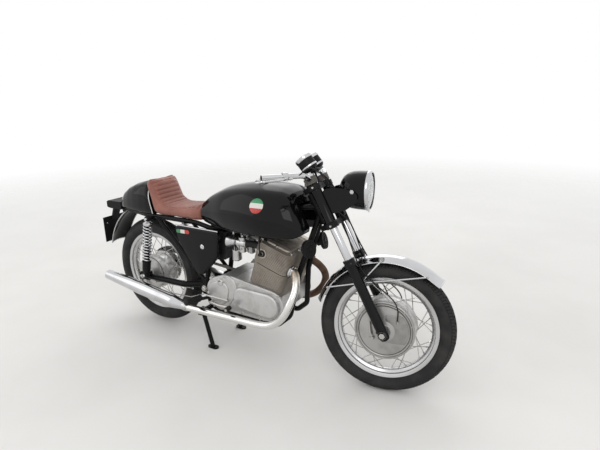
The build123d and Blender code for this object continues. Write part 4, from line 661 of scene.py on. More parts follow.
def makeTyre(wheel):
    half = wheel["width"] / 2
    bead = wheel["rimHalf"] - rimSizes["wall"]
    edge = half * tread["shoulder"]
    side = [(bead - 7, 233), (bead, 234), (bead + 0.2, 243), (bead + 5, 247), (bead + 6.5, 248.5),
            (bead + 7.5, 248)]
    side += [(half - 5, 258), (half - 0.8, 268), (half, 276), (half - 1.2, 284), (half - 2.2, 285),
             (half - 2.6, 287)]
    side += [(edge + 2.5, crownAt(wheel, edge) - 4), (edge, crownAt(wheel, edge) - tread["depth"] + 1)]
    crown = [(edge * share, crownAt(wheel, edge * share) - tread["depth"]) for share in (0.75, 0.5, 0.25, 0)]
    left = side + crown
    body = Shape()
    body.lathe(left + mirrored(left[:-1]), acrossAxle, sides=144, loop=True)
    place(body, wheel["name"] + "Tyre", wheel["place"], "tyre", wheel["body"], "tyre_rubber",
          [wheel["name"] + "_tyre"], sharp=60)
    pitch = 2 * math.pi / wheel["blocks"]
    block = Shape()
    # (first and last share of the pitch, from and to as shares of the half width, slant in pitches)
    rows = (
        (0.04, 0.90, -0.13, 0.13, 0.0),
        (0.10, 0.88, 0.19, 0.46, 0.45),
        (0.10, 0.88, -0.46, -0.19, 0.45),
        (0.02, 0.40, 0.52, 0.80, 0.75),
        (0.52, 0.90, 0.52, 0.80, 0.75),
        (0.02, 0.40, -0.80, -0.52, 0.75),
        (0.52, 0.90, -0.80, -0.52, 0.75),
    )
    for first, last, start, end, slant in rows:
        rings = []
        for step in range(4):
            share = start + (end - start) * step / 3
            y = share * half
            lean = slant * abs(share)
            crown = crownAt(wheel, y)
            foot = crown - (tread["depth"] + 1.5)
            corners = ((crown, first), (crown, last), (foot, last), (foot, first))
            rings.append([aboutAxle(radius, (turn + lean) * pitch, y) for radius, turn in corners])
        block.skin(rings)
    wheelCopies(wheel, "Tread", block, wheel["blocks"], "tyre")


def makeRim(wheel):
    half = wheel["rimHalf"]
    lip = rimSizes["lip"]
    inner = rimSizes["bead"] - rimSizes["wall"]
    well = inner - rimSizes["well"]
    face = [(half - 3, lip - 1), (half - 1, lip), (half + 0.6, lip - 1), (half + 0.4, lip - 3),
            (half - 1.2, lip - 7), (half - 1, inner + 1), (half - 2.5, inner - 0.5),
            (half * 0.66, inner - 1.5), (half * 0.44, well + 2), (half * 0.34, well), (0, well)]
    back = [(0, well + 3), (half * 0.38, well + 3), (half * 0.66, inner + 3), (half - 4, inner + 4),
            (half - 4, lip - 3)]
    rim = Shape()
    rim.lathe(face + mirrored(face[:-1]) + mirrored(back) + back[1:], acrossAxle, sides=144, loop=True)
    name = wheel["name"]
    place(rim, name + "Rim", wheel["place"], "polishedAlloy", wheel["body"], "chrome", [name + "_rim"],
          sharp=50)


def makeSpokes(wheel):
    wire, nipple, lean, count = 1.9, 3.1, math.radians(26), 36
    reach = rimSizes["bead"] - rimSizes["wall"] - rimSizes["well"] + 1
    spokes, nipples = Shape(), Shape()
    for index in range(4):
        side = -1 if index % 2 else 1
        turn = index * 2 * math.pi / count
        start = turn + (lean if index < 2 else -lean)
        foot = wheel["flange"] - 4
        elbow = aboutAxle(foot, start, side * (wheel["flangeAt"] + 4))
        inside = aboutAxle(foot, start, side * (wheel["flangeAt"] - 4))
        end = aboutAxle(reach, turn, side * 5)
        spokes.rod(bent([inside, elbow, end], [3], 3), wire, sides=7)
        top = end + (elbow - end).normalized() * 14
        nipples.rod([end, top.lerp(end, 0.2), top], lambda share: nipple * (1 if share < 0.7 else 0.8),
                    sides=8)
    groups = count // 4
    wheelCopies(wheel, "Spokes", spokes, groups, "steel", [wheel["name"] + "_spokes"])
    wheelCopies(wheel, "Nipples", nipples, groups, "steel")


for wheel in wheels:
    makeTyre(wheel)
    makeRim(wheel)
    makeSpokes(wheel)
print("wheels made")

# Front hub: twin drum with cooling ribs between its spoke flanges
hub = Shape()
outer = [(48, 121), (48, 134), (39, 134.5), (37.5, 143), (30.5, 143), (29, 136)]
for rib in (20, 10):
    outer += [(rib + 4, 128), (rib + 2.5, 133), (rib - 1, 133), (rib - 3, 128)]
outer += [(1.5, 128)]
profile = outer + mirrored(outer)
profile += [(-8, 118), (-12, 30), (-38, 24), (-38, 9), (38, 9), (38, 24), (12, 30), (8, 118)]
hub.lathe(profile, acrossAxle, sides=128, loop=True)
place(hub, "frontHub", onFrontWheel, "castAlloy", "front_wheel", "cast_alloy", ["front_hub"], sharp=32)

# Brake plates that stay with the fork: ridged rim, dished face, raised air box and cam lever
plateProfile = [(44, 9), (44, 114), (54, 114.5), (54, 137), (56, 138), (58.5, 136.5), (59.8, 134),
                (59.6, 131), (58, 129.5), (57.6, 127), (59.6, 125.8), (60.4, 123.5), (59.2, 121),
                (57.2, 119.5), (57.4, 114), (58.6, 100), (61, 62), (61.6, 54), (64, 46), (64.6, 36), (66, 31),
                (70.4, 29), (70.4, 9)]
for side, label in ((-1, "right"), (1, "left")):
    plate = Shape()
    plate.lathe([(side * y, radius) for y, radius in plateProfile], acrossAxle, sides=128)
    for inner, outer, foot, top in ((115.2, 119.4, 57, 57.8), (127, 129.5, 57.2, 58.3)):
        groove = [(side * foot, inner), (side * top, inner + 0.5), (side * top, outer - 0.5),
                  (side * foot, outer)]
        plate.lathe(groove, acrossAxle, look=3, sides=128)
    face = sideFace(side)
    outline = [(3, -54), (96, -54)]
    outline += [(112 * math.cos(a), 112 * math.sin(a)) for a in (-0.36, -0.18, 0, 0.2, 0.42, 0.6)]
    outline += [(76, 80), (3, 80)]
    plate.raised(cornered(outline, 9), face, 56, 63.2, 2.4, look=1)
    for angle in (-0.9, -0.35, 0.3, 0.85, 1.9, 2.6, 3.4, 4.2):
        plate.screw(aimed(aboutAxle(129, angle, side * 57), (0, side, 0)), 4, 4, look=2)
    camLever = [Vector((-52, side * 66, -38)), Vector((-60, side * 70, -6)), Vector((-66, side * 69, 40))]
    plate.rod(bent(camLever, [30]), lambda share: 8 - 3 * share, look=2, flat=0.55)
    plate.lathe([(56, 12), (64, 12), (68, 10), (74, 7), (74, 0)], aimed((-52, 0, -38), (0, side, 0)), look=2,
                sides=20)
    place(plate, label + "BrakePlate", onFrontWheel, ["frontPlate", "plateCap", "steel", "darkCasting"],
          "steering", "cast_alloy", ifRight(side, "front_brake_plates"), sharp=30)
print("hubs made")

# Fuel tank: a pressed shell over a tunnel, leaning back along the fork at its front
tank = {"back": 460, "length": 666.9, "foot": 718, "tunnelHalf": 64, "filler": 0.6}
# (share of the length, half width, top, foot, tunnel roof)
tankSections = (
    (0.0, 100, 118, 16, 44),
    (0.1, 118, 158, 4, 60),
    (0.3, 156, 204, 0, 92),
    (0.62, 188, 238, 4, 136),
    (0.88, 172, 246, 14, 168),
    (0.97, 144, 230, 34, 174),
    (1.0, 114, 206, 60, 176),
)


def tankPlace(share):
    lean = rake * share
    return axes(
        (0, 1, 0), (-math.sin(lean), 0, math.cos(lean)), (math.cos(lean), 0, math.sin(lean)),
        (tank["back"] + tank["length"] * share, 0, tank["foot"]),
    )


def tankRing(share, half, top, bottom, roof):
    shoulder = bottom + (top - bottom) * 0.55
    crest = top - (top - shoulder) * 0.24
    low = bottom - 1
    right = [(half * 0.84 - 8, low), (half * 0.86, low), (half * 0.92, bottom + 8),
             (half, (bottom + shoulder) / 2), (half * 0.965, shoulder), (half * 0.72, crest),
             (half * 0.36, top - 1), (0, top + 4)]
    ring = through([(x, y, 0) for x, y in right + mirrored(right[:-1])], 5)
    inner = tank["tunnelHalf"]
    wall = [(inner, roof), (inner, (low + roof) / 2), (inner, low)]
    ring += [Vector((x, y, 0)) for x, y in mirrored(wall) + [(0, roof)] + wall]
    return [tankPlace(share) @ spot for spot in ring]


def between(rows, share):                # a row of a table at a share, smoothly between its neighbours
    last = len(rows) - 1
    index = max(i for i in range(last) if rows[i][0] <= share or i == 0)
    low, high = rows[index], rows[index + 1]
    t = (share - low[0]) / (high[0] - low[0])
    before, after = rows[max(index - 1, 0)], rows[min(index + 2, last)]
    span = high[0] - low[0]
    values = []
    for a, b, c, d in zip(before[1:], low[1:], high[1:], after[1:]):
        slopeLow = (c - a) / max(high[0] - before[0], 1e-6) * span
        slopeHigh = (d - b) / max(after[0] - low[0], 1e-6) * span
        values.append(
            b * (2 * t**3 - 3 * t**2 + 1) + slopeLow * (t**3 - 2 * t**2 + t)
            + c * (3 * t**2 - 2 * t**3) + slopeHigh * (t**3 - t**2)
        )
    return values


shell = Shape()
shares = [step / 40 for step in range(36)] + [0.89, 0.905, 0.92, 0.935, 0.95, 0.96, 0.97, 0.978, 0.985, 0.992,
                                              0.997]
shell.skin([tankRing(share, *between(tankSections, share)) for share in shares])
fuelTank = onChassis(shell, "fuelTank", "blackPaint", "black_paint", ["fuel_tank"], sharp=48)

# The seam where the two pressings are rolled together runs round the tank's foot
for side in (1, -1):
    seam = Shape()
    line = []
    for share in [0.02 + 0.94 * step / 30 for step in range(31)]:
        half, top, bottom, roof = between(tankSections, share)
        line.append(tankPlace(share) @ Vector((side * (half * 0.86 + 1), bottom + 0.5, 0)))
    seam.rod(line, 3.2, sides=10, flat=0.6)
    onChassis(seam, ("left" if side > 0 else "right") + "TankSeam", "blackPaint", "black_paint")

cap = Shape()
capPlace = tankPlace(tank["filler"]) @ axes((1, 0, 0), (0, 0, -1), (0, 1, 0), (0, 240, 0))
cap.lathe([(-2, 37), (3, 37.5), (6, 36), (8, 31), (8.5, 29), (16, 28), (19, 26), (20.5, 20), (20, 9),
           (21.5, 6), (22, 0)], capPlace, sides=72)
for turn in evenTurns(24):
    cap.rod([capPlace @ around(29.4, turn, height) for height in (8.6, 12, 15.5)], 1.6, sides=6)
onChassis(cap, "fuelCap", "chrome", "chrome", ["fuel_cap"])


def patchOn(target, centre, outward, outline, lift):     # a thin skin laid on a piece, and its place
    # centre, outward and lift are in metres; the outline is in millimetres across and up
    normal = Vector(outward).normalized()
    across = Vector((0, 0, 1)).cross(normal).normalized()
    upward = normal.cross(across)
    turned = target.matrix_world.inverted()
    rings = []
    for share in (1.0, 0.97, 0.7, 0.4, 0.1):
        ring = []
        for x, y in outline:
            start = Vector(centre) + (across * x + upward * y) * share * 0.001 + normal * 0.08
            hit, spot = target.ray_cast(turned @ start, -normal)[:2]
            rise = lift if share < 1 else 0.0001
            ring.append((target.matrix_world @ spot if hit else start - normal * 0.08) + normal * rise)
        rings.append(ring)
    skin = Shape()
    skin.skin(rings)
    return skin, axes(across, upward, normal, centre)


roundelSpot = onMachine @ Vector((872, 0, 872))
ringOutline = [(37 * math.cos(turn), 37 * math.sin(turn)) for turn in evenTurns(48)]
for side, label in ((-1, "right"), (1, "left")):
    start = Vector((roundelSpot.x, side * 0.6, roundelSpot.z))
    spot, facing = fuelTank.ray_cast(start, Vector((0, -side, 0)))[1:3]
    roundel, where = patchOn(fuelTank, spot, facing, ringOutline, 0.0006)
    finishes[label + "Roundel"] = threeBands(label + "RoundelBands", where, 0.037, 1)
    place(roundel, label + "TankRoundel", Matrix.Identity(4), label + "Roundel", "chassis", "black_paint")
print("tank made")

# Tail hump: a rounded cowl that closes behind the lamp bracket
humpBase = 729.3
# (x, half width, top)
humpSections = ((106, 113, 884), (60, 116, 902), (0, 113, 900), (-60, 106, 886), (-120, 95, 862),
                (-170, 82, 830), (-205, 68, 798), (-224, 56, 772), (-232, 46, 752))


def humpRing(x, half, top):
    height = top - humpBase
    outer = [(half * 0.5, -1), (half * 0.96, 0), (half, height * 0.30), (half * 0.95, height * 0.62),
             (half * 0.78, height * 0.88), (half * 0.42, height * 0.985), (0, height)]
    line = through([(y, z, 0) for y, z in outer + mirrored(outer[:-1])], 5)
    return [Vector((x, spot.x, humpBase + spot.y)) for spot in line]


def seatBackAt(z):                       # the seat's back face leans away from the hump
    return 112 - (z - humpBase) * 50 / 183


hump = Shape()
rings = []
for x, half, top in humpSections:
    ring = humpRing(x, half, top)
    if x > 40:
        for spot in ring:
            spot.x = min(spot.x, seatBackAt(spot.z) - 2)
    rings.append(ring)
steps = []
for low, high in zip(rings, rings[1:]):
    steps += [[a.lerp(b, t / 4) for a, b in zip(low, high)] for t in range(4)]
hump.skin(steps + [rings[-1]])
onChassis(hump, "tailHump", "blackPaint", "black_paint", ["tail_hump"], sharp=60)

# Pale piping between the seat's back and the hump
arch = []
for step in range(25):
    angle = math.pi * step / 24
    y = 113 * math.cos(angle)
    z = humpBase + 3 + 160 * math.sin(angle) ** 0.45
    arch.append(Vector((seatBackAt(z) - 4, y, z)))
piping = Shape()
piping.rod(arch, 3.4, sides=10)
onChassis(piping, "humpPiping", "polishedAlloy", "chrome")
print("tail made")

# Seat: one padded pad, flat ahead and turned up into a bolster, with ribs sewn across its panel
seat = {
    "half": 120, "panelHalf": 92, "ribPitch": 25, "ribDepth": 6.5, "seamDepth": 3, "seamWidth": 2.6,
    "crown": 3.0, "topDepth": 22, "topFade": 10, "panelFade": 6, "fill": 0.75,
}
# (lower x, lower z, upper x, upper z, half width) along the pad from the tank to the bolster's top
seatSections = (
    (457, 733, 456, 796, 88),
    (446, 732, 445, 800, 104),
    (428, 732, 428, 800, 114),
    (400, 732, 401, 796, 119),
    (340, 732, 341, 783, 120),
    (270, 732, 271, 775, 120),
    (210, 732, 212, 774, 120),
    (172, 732, 178, 782, 120),
    (140, 733, 156, 798, 119),
    (116, 740, 143, 820, 118),
    (106, 768, 133, 846, 117),
    (96, 806, 124, 874, 115),
    (85, 846, 115, 900, 112),
    (75, 880, 104, 919, 108),
    (68, 902, 90, 929, 98),
)


def seatRing(lowX, lowZ, highX, highZ, half, shrink=0.0):
    low, high = Vector((lowX, 0, lowZ)), Vector((highX, 0, highZ))
    middle, rise = (low + high) / 2, (high - low) / 2
    ring = []
    for turn in evenTurns(40):
        across, up = math.cos(turn), math.sin(turn)
        across = math.copysign(abs(across) ** 0.42, across)
        up = math.copysign(abs(up) ** (0.55 if up > 0 else 0.3), up)
        ring.append(middle + rise * up * (1 - shrink) + Vector((0, across * half * (1 - shrink * 0.35), 0)))
    return ring


def seatTopAt(x, z):                     # how far along the pad's top a point lies, in millimetres
    spot = Vector((x, 0, z))
    walked, nearest, found = 0, 1e9, 0
    for row, after in zip(seatSections, seatSections[1:]):
        start, end = Vector((row[2], 0, row[3])), Vector((after[2], 0, after[3]))
        length = (end - start).length
        share = min(max((spot - start).dot(end - start) / length**2, 0), 1)
        gap = (start.lerp(end, share) - spot).length
        if gap < nearest:
            nearest, found = gap, walked + share * length
        walked += length
    return found, nearest


def puffed(source, cap, pressure, voxel):        # cloth pressure swells a pad, each point by the cap at most
    remesh = source.modifiers.new("Remesh", "REMESH")
    remesh.mode = "VOXEL"
    remesh.voxel_size = voxel
    mesh = evaluated(source)
    source.modifiers.clear()
    source.data = mesh
    before = [vertex.co.copy() for vertex in mesh.vertices]
    cloth = source.modifiers.new("Cloth", "CLOTH")
    cloth.settings.use_pressure = True
    cloth.settings.uniform_pressure_force = pressure
    cloth.settings.effector_weights.gravity = 0
    cloth.point_cache.frame_start = 1
    cloth.point_cache.frame_end = 20
    for step in range(1, 21):
        bpy.context.scene.frame_set(step)
    swollen = evaluated(source)
    source.modifiers.clear()
    bpy.context.scene.frame_set(1)
    source.data = swollen
    for vertex, start in zip(swollen.vertices, before):
        move = vertex.co - start
        if move.length > cap:
            vertex.co = start + move * (cap / move.length)


def makeSeat():
    pad = Shape()
    rings = [seatRing(*seatSections[0], shrink=share) for share in (0.5, 0.2)]
    rings += [seatRing(*row) for row in seatSections]
    rings += [seatRing(*seatSections[-1], shrink=share) for share in (0.2, 0.5)]
    pad.skin(rings)
    piece = added("seatPad", meshOf(pad, "seatPad", onMachine, [finishes["leather"]]))
    puffed(piece, cap=0.007, pressure=4, voxel=0.006)
    smooth = piece.modifiers.new("Smooth", "SMOOTH")
    smooth.iterations = 4
    split = piece.modifiers.new("Subdivision", "SUBSURF")
    split.levels = split.render_levels = 1
    mesh = evaluated(piece)
    piece.modifiers.clear()
    piece.data = mesh
    toDrawn = onMachine.inverted()
    toMetres = 0.001
    for vertex in mesh.vertices:
        spot = toDrawn @ vertex.co
        along, gap = seatTopAt(spot.x, spot.z)
        if gap > seat["topDepth"]:
            continue
        edge = abs(spot.y)
        top = min(max((seat["topDepth"] - gap) / seat["topFade"], 0), 1)
        inside = min(max((seat["panelHalf"] - edge) / seat["panelFade"], 0), 1)
        rib = abs(math.sin(math.pi * along / seat["ribPitch"])) ** 0.5 - 1
        seam = math.exp(-(((edge - seat["panelHalf"]) / seat["seamWidth"]) ** 2))
        crown = seat["crown"] * (1 - (edge / seat["half"]) ** 2)
        sink = (rib * seat["ribDepth"] + crown) * inside * top - seam * seat["seamDepth"] * top
        vertex.co += vertex.normal * sink * toMetres
    mesh.materials.clear()
    mesh.materials.append(finishes["leather"])
    mesh.polygons.foreach_set("use_smooth", [True] * len(mesh.polygons))
    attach(piece, "chassis")
    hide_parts("seat_pad")


makeSeat()
print("seat made")

# Side panels: pressed covers with a rolled edge, a bright bead along the top and a lock
panel = {"y": 148, "depth": 24, "edge": 9, "corner": 22}
stripePlace = onMachine @ axes((-1, 0, 0), (0, -1, 0), (0, 0, 1), (364, -149, 671))
finishes["panelBands"] = threeBands("panelBands", stripePlace, 0.046, 0)
panelOutline = [(300, 700), (608, 698), (590, 560), (486, 444), (444, 444), (330, 600)]
for side, label in ((-1, "right"), (1, "left")):
    face = sideFace(side)
    cover = Shape()
    ring = cornered(list(reversed(panelOutline)), panel["corner"], 120)
    cover.raised(ring, face, panel["y"] - panel["depth"], panel["y"], panel["edge"])
    onChassis(cover, label + "SidePanel", "blackPaint", "black_paint", ifRight(side, "side_panels"), sharp=50)
    trim = Shape()
    trim.rod([face @ Vector((x, 702 - (x - 300) * 0.006, panel["y"] - 6)) for x in (306, 400, 500, 602)], 3.4,
             sides=10)
    onChassis(trim, label + "PanelBead", "polishedAlloy", "chrome")
    lock = Shape()
    lock.lathe([(-1, 13), (3, 13), (5, 11), (5.4, 8), (4.6, 7.4), (4.6, 0)],
               face @ Matrix.Translation((495, 605, 147)), sides=32)
    lock.rod([face @ Vector((489, 605, 153)), face @ Vector((501, 605, 153))], 2.2, sides=8)
    onChassis(lock, label + "PanelLock", "chrome", "chrome")
    strip = Shape()
    strip.raised(cornered([(318, 660), (410, 662), (410, 683), (318, 680)], 8, 48), face, 147.5, 149.4, 0.8)
    onChassis(strip, label + "PanelStripe", "panelBands", "black_paint")
print("panels made")

# Fork: chromed stanchions in black sliders, shrouds and headlamp ears between the yokes
legHalf = machine["legHalfSpacing"]
forkAhead = machine["forkOffset"]
for side, label in ((-1, "right"), (1, "left")):
    leg = Matrix.Translation((forkAhead, side * legHalf, 0))
    slider = Shape()
    slider.lathe([(-33, 0), (-33, 11), (-29, 19), (-20, 23.5), (30, 24), (44, 24), (300, 23.5), (332, 24),
                  (337, 27), (341, 28.2), (352, 28.2), (355, 26.5), (358, 26.5), (361, 28), (368, 28),
                  (371.5, 25), (372, 17.8)], leg, sides=48)
    slider.lathe([(-30, 0), (-30, 17), (-26, 20), (26, 20), (30, 17), (30, 0)],
                 leg @ Matrix.Rotation(math.radians(90), 4, "X"), look=1, sides=32)
    for height in (-14, 14):
        slider.screw(aimed(leg @ Vector((-22, 0, height)), (-1, 0, 0)), 5, 6, look=1)
    place(slider, label + "Slider", onFork, ["blackPaint", "satinBlack"], "steering", "black_paint",
          ifRight(side, "fork_sliders"), sharp=34)
    stanchion = Shape()
    stanchion.lathe([(330, 17.5), (786, 17.5), (788, 16), (788, 11.5), (796, 11), (797, 9), (797, 0)], leg,
                    sides=48)
    place(stanchion, label + "Stanchion", onFork, "chrome", "steering", "chrome", ifRight(side, "fork_tubes"))
    shroud = Shape()
    shroud.lathe([(553, 20), (553, 25.5), (557, 26.5), (561, 25.2), (640, 25), (706, 25), (711, 26.2),
                  (715, 25), (715, 20)], leg, sides=48, loop=True)
    earOutline = [(22, 34), (22, 150), (70, 140), (120, 112), (152, 84), (160, 60), (142, 36), (90, 26)]
    ear = axes((1, 0, 0), (0, 0, 1), (0, -1, 0), (forkAhead, side * (legHalf - 1), 552))
    shroud.raised(cornered(earOutline, 16, 80), ear, -2.2, 2.2, 1.2)
    place(shroud, label + "Shroud", onFork, "blackPaint", "steering", "black_paint",
          ifRight(side, "headlamp_ears"), sharp=34)
print("fork made")

# Headlamp: deep bowl, rolled chrome rim, ribbed glass, reflector and bulb
lamp = {
    "height": 946.6, "glass": 83, "front": 1362.2, "inside": 1358.6, "bulge": 10.2, "flutePitch": 9,
    "fluteReach": 78, "mirrorFront": 1346, "mirrorDepth": 78, "mirrorRadius": 80,
}
lampPlace = aimed((0, 0, lamp["height"]), (1, 0, 0))
bowl = Shape()
bowl.lathe([(1214.5, 0), (1214.6, 14), (1216, 30), (1222, 48), (1234, 65), (1252, 78), (1275, 85.5),
            (1300, 88), (1341, 89), (1341, 85), (1300, 84), (1262, 78), (1236, 60), (1224, 34), (1222, 0)],
           lampPlace, sides=96)
for side in (1, -1):
    bolt = aimed((1288.5, side * 84, lamp["height"]), (0, side, 0))
    bowl.lathe([(0, 11), (9.5, 11), (9.5, 0)], bolt, sides=32)
    bowl.lathe([(13, 10), (15, 10), (15, 8), (21, 8), (22.5, 6.5), (22.5, 0)], bolt, look=1, sides=6)
onSteering(bowl, "headlampShell", ["blackPaint", "chrome"], "black_paint", ["headlamp_shell"], sharp=34)
rim = Shape()
rim.lathe([(1341.5, 84), (1341.5, 91), (1343.5, 92.6), (1347, 93), (1351, 92), (1355.5, 89), (1358.5, 85.5),
           (1359, 83), (1357.5, 81.5), (1354.5, 83), (1350, 85)], lampPlace, sides=96, loop=True)
rim.screw(aimed((1350, 0, lamp["height"] - 93.5), (0, 0, -1)), 3.5, 5)
onSteering(rim, "headlampRim", "chrome", "chrome", ["headlamp_rim"], sharp=50)
lensDepth = [(1352, lamp["glass"])]
for share in (0.9, 0.8, 0.7, 0.6, 0.5, 0.4, 0.3, 0.2, 0.1, 0):
    lensDepth.append((lamp["front"] - lamp["bulge"] * share**2, lamp["glass"] * share))
back = [(x - 3, radius) for x, radius in reversed(lensDepth)]
lens = Shape()
lens.lathe(back + lensDepth, lampPlace, sides=96)
onSteering(lens, "headlampLens", "glass", "glass", ["headlamp_lens"], sharp=60)
flutes = Shape()
for step in range(-8, 9):
    y = step * lamp["flutePitch"]
    reach = math.sqrt(lamp["fluteReach"] ** 2 - y**2)
    line = [Vector((0, y, lamp["height"] + reach * t)) for t in (-1, -0.5, 0, 0.5, 1)]
    for spot in line:
        off = math.hypot(spot.y, spot.z - lamp["height"]) / lamp["glass"]
        spot.x = lamp["inside"] - lamp["bulge"] * off**2
    flutes.rod(line, 1.5, sides=6)
onSteering(flutes, "lensFlutes", "glass", "glass")
mirrorBowl = Shape()
mirror = []
for radius in (80, 72, 62, 52, 42, 32, 22, 14):
    depth = lamp["mirrorDepth"] * (1 - (radius / lamp["mirrorRadius"]) ** 2)
    mirror.append((lamp["mirrorFront"] - depth, radius))
mirrorBowl.lathe(mirror + [(x - 1.5, radius) for x, radius in reversed(mirror)], lampPlace, sides=72,
                 loop=True)
onSteering(mirrorBowl, "headlampReflector", "chrome", "chrome")
bulb = Shape()
bulb.lathe([(1262, 14), (1275, 14), (1276, 9), (1300, 9), (1307, 6), (1309, 0)], lampPlace, sides=32)
onSteering(bulb, "headlampBulb", "glass", "glass")
print("headlamp made")

# Instruments: two cups with chromed bands, their faces leaning back towards the rider
dials = {"tilt": 40, "ahead": 62, "up": 804, "halfSpacing": 50, "firstTick": 225, "tickStep": 22.5,
         "needle": 222}
dialFoot = steered(dials["ahead"], 0, dials["up"])
tilt = math.radians(dials["tilt"])
dialUp = Vector((-math.sin(tilt), 0, math.cos(tilt)))
dialBack = Vector((math.cos(tilt), 0, math.sin(tilt)))
for side, label, stands in ((1, "left", ["instruments"]), (-1, "right", [])):
    spot = dialFoot + Vector((0, side * dials["halfSpacing"], 0))
    cup = Shape()
    where = axes((0, 1, 0), -dialBack, dialUp, spot)
    cup.lathe([(-4, 0), (-4, 12), (0, 16), (4, 30), (9, 36), (16, 39.5), (54, 40), (58, 39)], where, sides=72)
    cup.lathe([(56, 38), (56, 41), (58, 42.2), (67, 42.4), (71, 41.6), (73, 39), (73, 36.5), (70.5, 36)],
              where, look=1, sides=72, loop=True)
    cup.lathe([(15, 38.5), (15, 40.8), (17, 41.4), (21, 41.4), (23, 40.8), (23, 38.5)], where, look=1,
              sides=72, loop=True)
    cup.lathe([(62, 36.5), (66, 37), (66, 0)], where, look=2, sides=48)
    for tick in range(13):
        turn = math.radians(dials["firstTick"] - tick * dials["tickStep"])
        mark = [where @ around(radius, turn, 66.3) for radius in (29 if tick % 2 else 26, 34)]
        cup.rod(mark, 0.8, look=3, sides=4)
    needle = [where @ around(radius, math.radians(dials["needle"]), 67.5) for radius in (0, 27)]
    cup.rod(needle, lambda share: 1.4 - share, look=3, sides=5)
    cup.lathe([(66, 5), (69, 5), (70, 3), (70, 0)], where, sides=24)
    cup.lathe([(71, 37), (72, 37), (72, 0)], where, look=4, sides=48)
    finishNames = ["satinBlack", "chrome", "plastic", "polishedAlloy", "glass"]
    onSteering(cup, label + "Instrument", finishNames, "black_plastic", stands, sharp=34)
bracket = Shape()
plateWhere = axes((0, 1, 0), -dialBack, dialUp, dialFoot)
bracket.raised(cornered([(-74, -24), (74, -24), (74, 24), (-74, 24)], 16, 64), plateWhere, -5, -0.5, 1)
for side in (1, -1):
    bracket.rod([steered(46, side * 22, 741), steered(50, side * 22, 800)], 5, sides=14)
onSteering(bracket, "instrumentBracket", "satinBlack", "black_plastic")
print("instruments made")


def dress(node, look):                   # a CAD node that stays in view gets its finish
    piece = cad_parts[node]
    if not piece.material_slots:
        piece.data.materials.append(None)
    for holder in piece.material_slots:
        holder.link = "OBJECT"
        holder.material = finishes[look]


dressed = {
    "framePaint": ("frame", "swingarm", "centre_stand"),
    "satinBlack": ("yokes", "chain_guard", "horns", "tail_lamp"),
    "castAlloy": ("crankcase", "rear_brake_plate", "rear_hub"),
    "steel": ("foot_levers", "front_axle"),
    "plastic": ("airbox",),
    "rubber": ("footrests",),
}
for look, nodes in dressed.items():
    for node in nodes:
        dress(node, look)
print("frame dressed")

# Engine covers: rounded castings over the case's joint face, each lobe stepped up with a soft edge
coverSizes = {"joint": 140.3, "step": 151, "flange": 158.3, "face": 174, "screw": 4.6}
gearboxLobes = [(590, 376, 76), (650, 410, 66), (600, 330, 60), (860, 346, 78), (912, 358, 84)]
kidneyLobes = [(757, 372, 60), (905, 362, 68)]
rightCover = Shape()
face = sideFace(-1)
rightCover.raised(hullOf(gearboxLobes, 160), face, coverSizes["joint"], coverSizes["step"], 6)
rightCover.raised(hullOf(gearboxLobes[:3], 120), face, coverSizes["step"] - 1, coverSizes["flange"], 5)
rightCover.raised(hullOf(kidneyLobes, 120), face, coverSizes["step"] - 1, coverSizes["face"], 13)
rightCover.raised(hullOf([(588, 372, 56), (612, 386, 52), (600, 356, 54)], 96), face,
                  coverSizes["flange"] - 1, 165, 6)
for low, high in (((512, 338), (657, 338)), ((528, 300), (640, 290))):
    rightCover.rod([face @ Vector((x, z, 164)) for x, z in (low, high)], 5.5, sides=12)
filler = face @ Matrix.Translation((614, 434, 0))
rightCover.lathe([(156, 19), (168, 19), (170, 17), (170, 11), (162, 10.5), (162, 0)], filler, sides=40)
rightCover.lathe([(162, 10), (163, 10), (163, 0)], filler, look=1, sides=32)
for x, z in ((520, 352), (548, 442), (640, 468), (716, 442), (820, 424), (962, 424), (988, 340), (930, 284),
             (850, 276), (740, 282), (640, 272), (556, 288)):
    top = coverSizes["flange" if x < 700 else "step"]
    rightCover.lathe([(top - 2, 8), (top + 2.2, 8), (top + 3.7, 6.5)], face @ Matrix.Translation((x, z, 0)),
                     sides=24)
    rightCover.screw(face @ Matrix.Translation((x, z, top + 1.7)), coverSizes["screw"], 4.2, look=2)
onChassis(rightCover, "rightEngineCover", ["castAlloy", "plastic", "steel"], "cast_alloy", ["engine_covers"],
          sharp=34)
leftCover = Shape()
face = sideFace(1)
leftCover.raised(hullOf([(640, 404, 62), (890, 366, 88), (620, 350, 70)], 160), face, coverSizes["joint"],
                 coverSizes["flange"], 8)
leftCover.raised(hullOf([(890, 366, 74), (888, 364, 74)], 96), face, coverSizes["flange"] - 1,
                 coverSizes["face"], 9)
for x, z in ((566, 380), (600, 448), (700, 456), (800, 440), (846, 300), (700, 290), (600, 292)):
    leftCover.lathe([(156, 8), (160.5, 8), (162, 6.5)], face @ Matrix.Translation((x, z, 0)), sides=24)
    leftCover.screw(face @ Matrix.Translation((x, z, 160)), coverSizes["screw"], 4.2, look=1)
onChassis(leftCover, "leftEngineCover", ["castAlloy", "steel"], "cast_alloy", sharp=34)

# Cylinders and head: close fins round a plain core, and a ribbed cover over the valve gear
cylinders = {"lean": 18, "foot": (862, 0, 432), "carbOut": 66, "portOut": 96}
lean = math.radians(cylinders["lean"])
bankAhead = Vector((math.cos(lean), 0, -math.sin(lean)))
bankUp = Vector((math.sin(lean), 0, math.cos(lean)))
bank = axes(bankAhead, toLeft, bankUp, cylinders["foot"])
finSizes = {
    "pitch": 7, "thick": 2.4, "corner": 34, "blockFoot": 5, "blockTop": 124, "headFoot": 131, "headTop": 240,
}
plugSpot = (-52, 186.3)                  # ahead and up from the bank's foot


def boxOutline(halfX, halfY, corner):
    return cornered([(-halfX, -halfY), (halfX, -halfY), (halfX, halfY), (-halfX, halfY)], corner, 112)


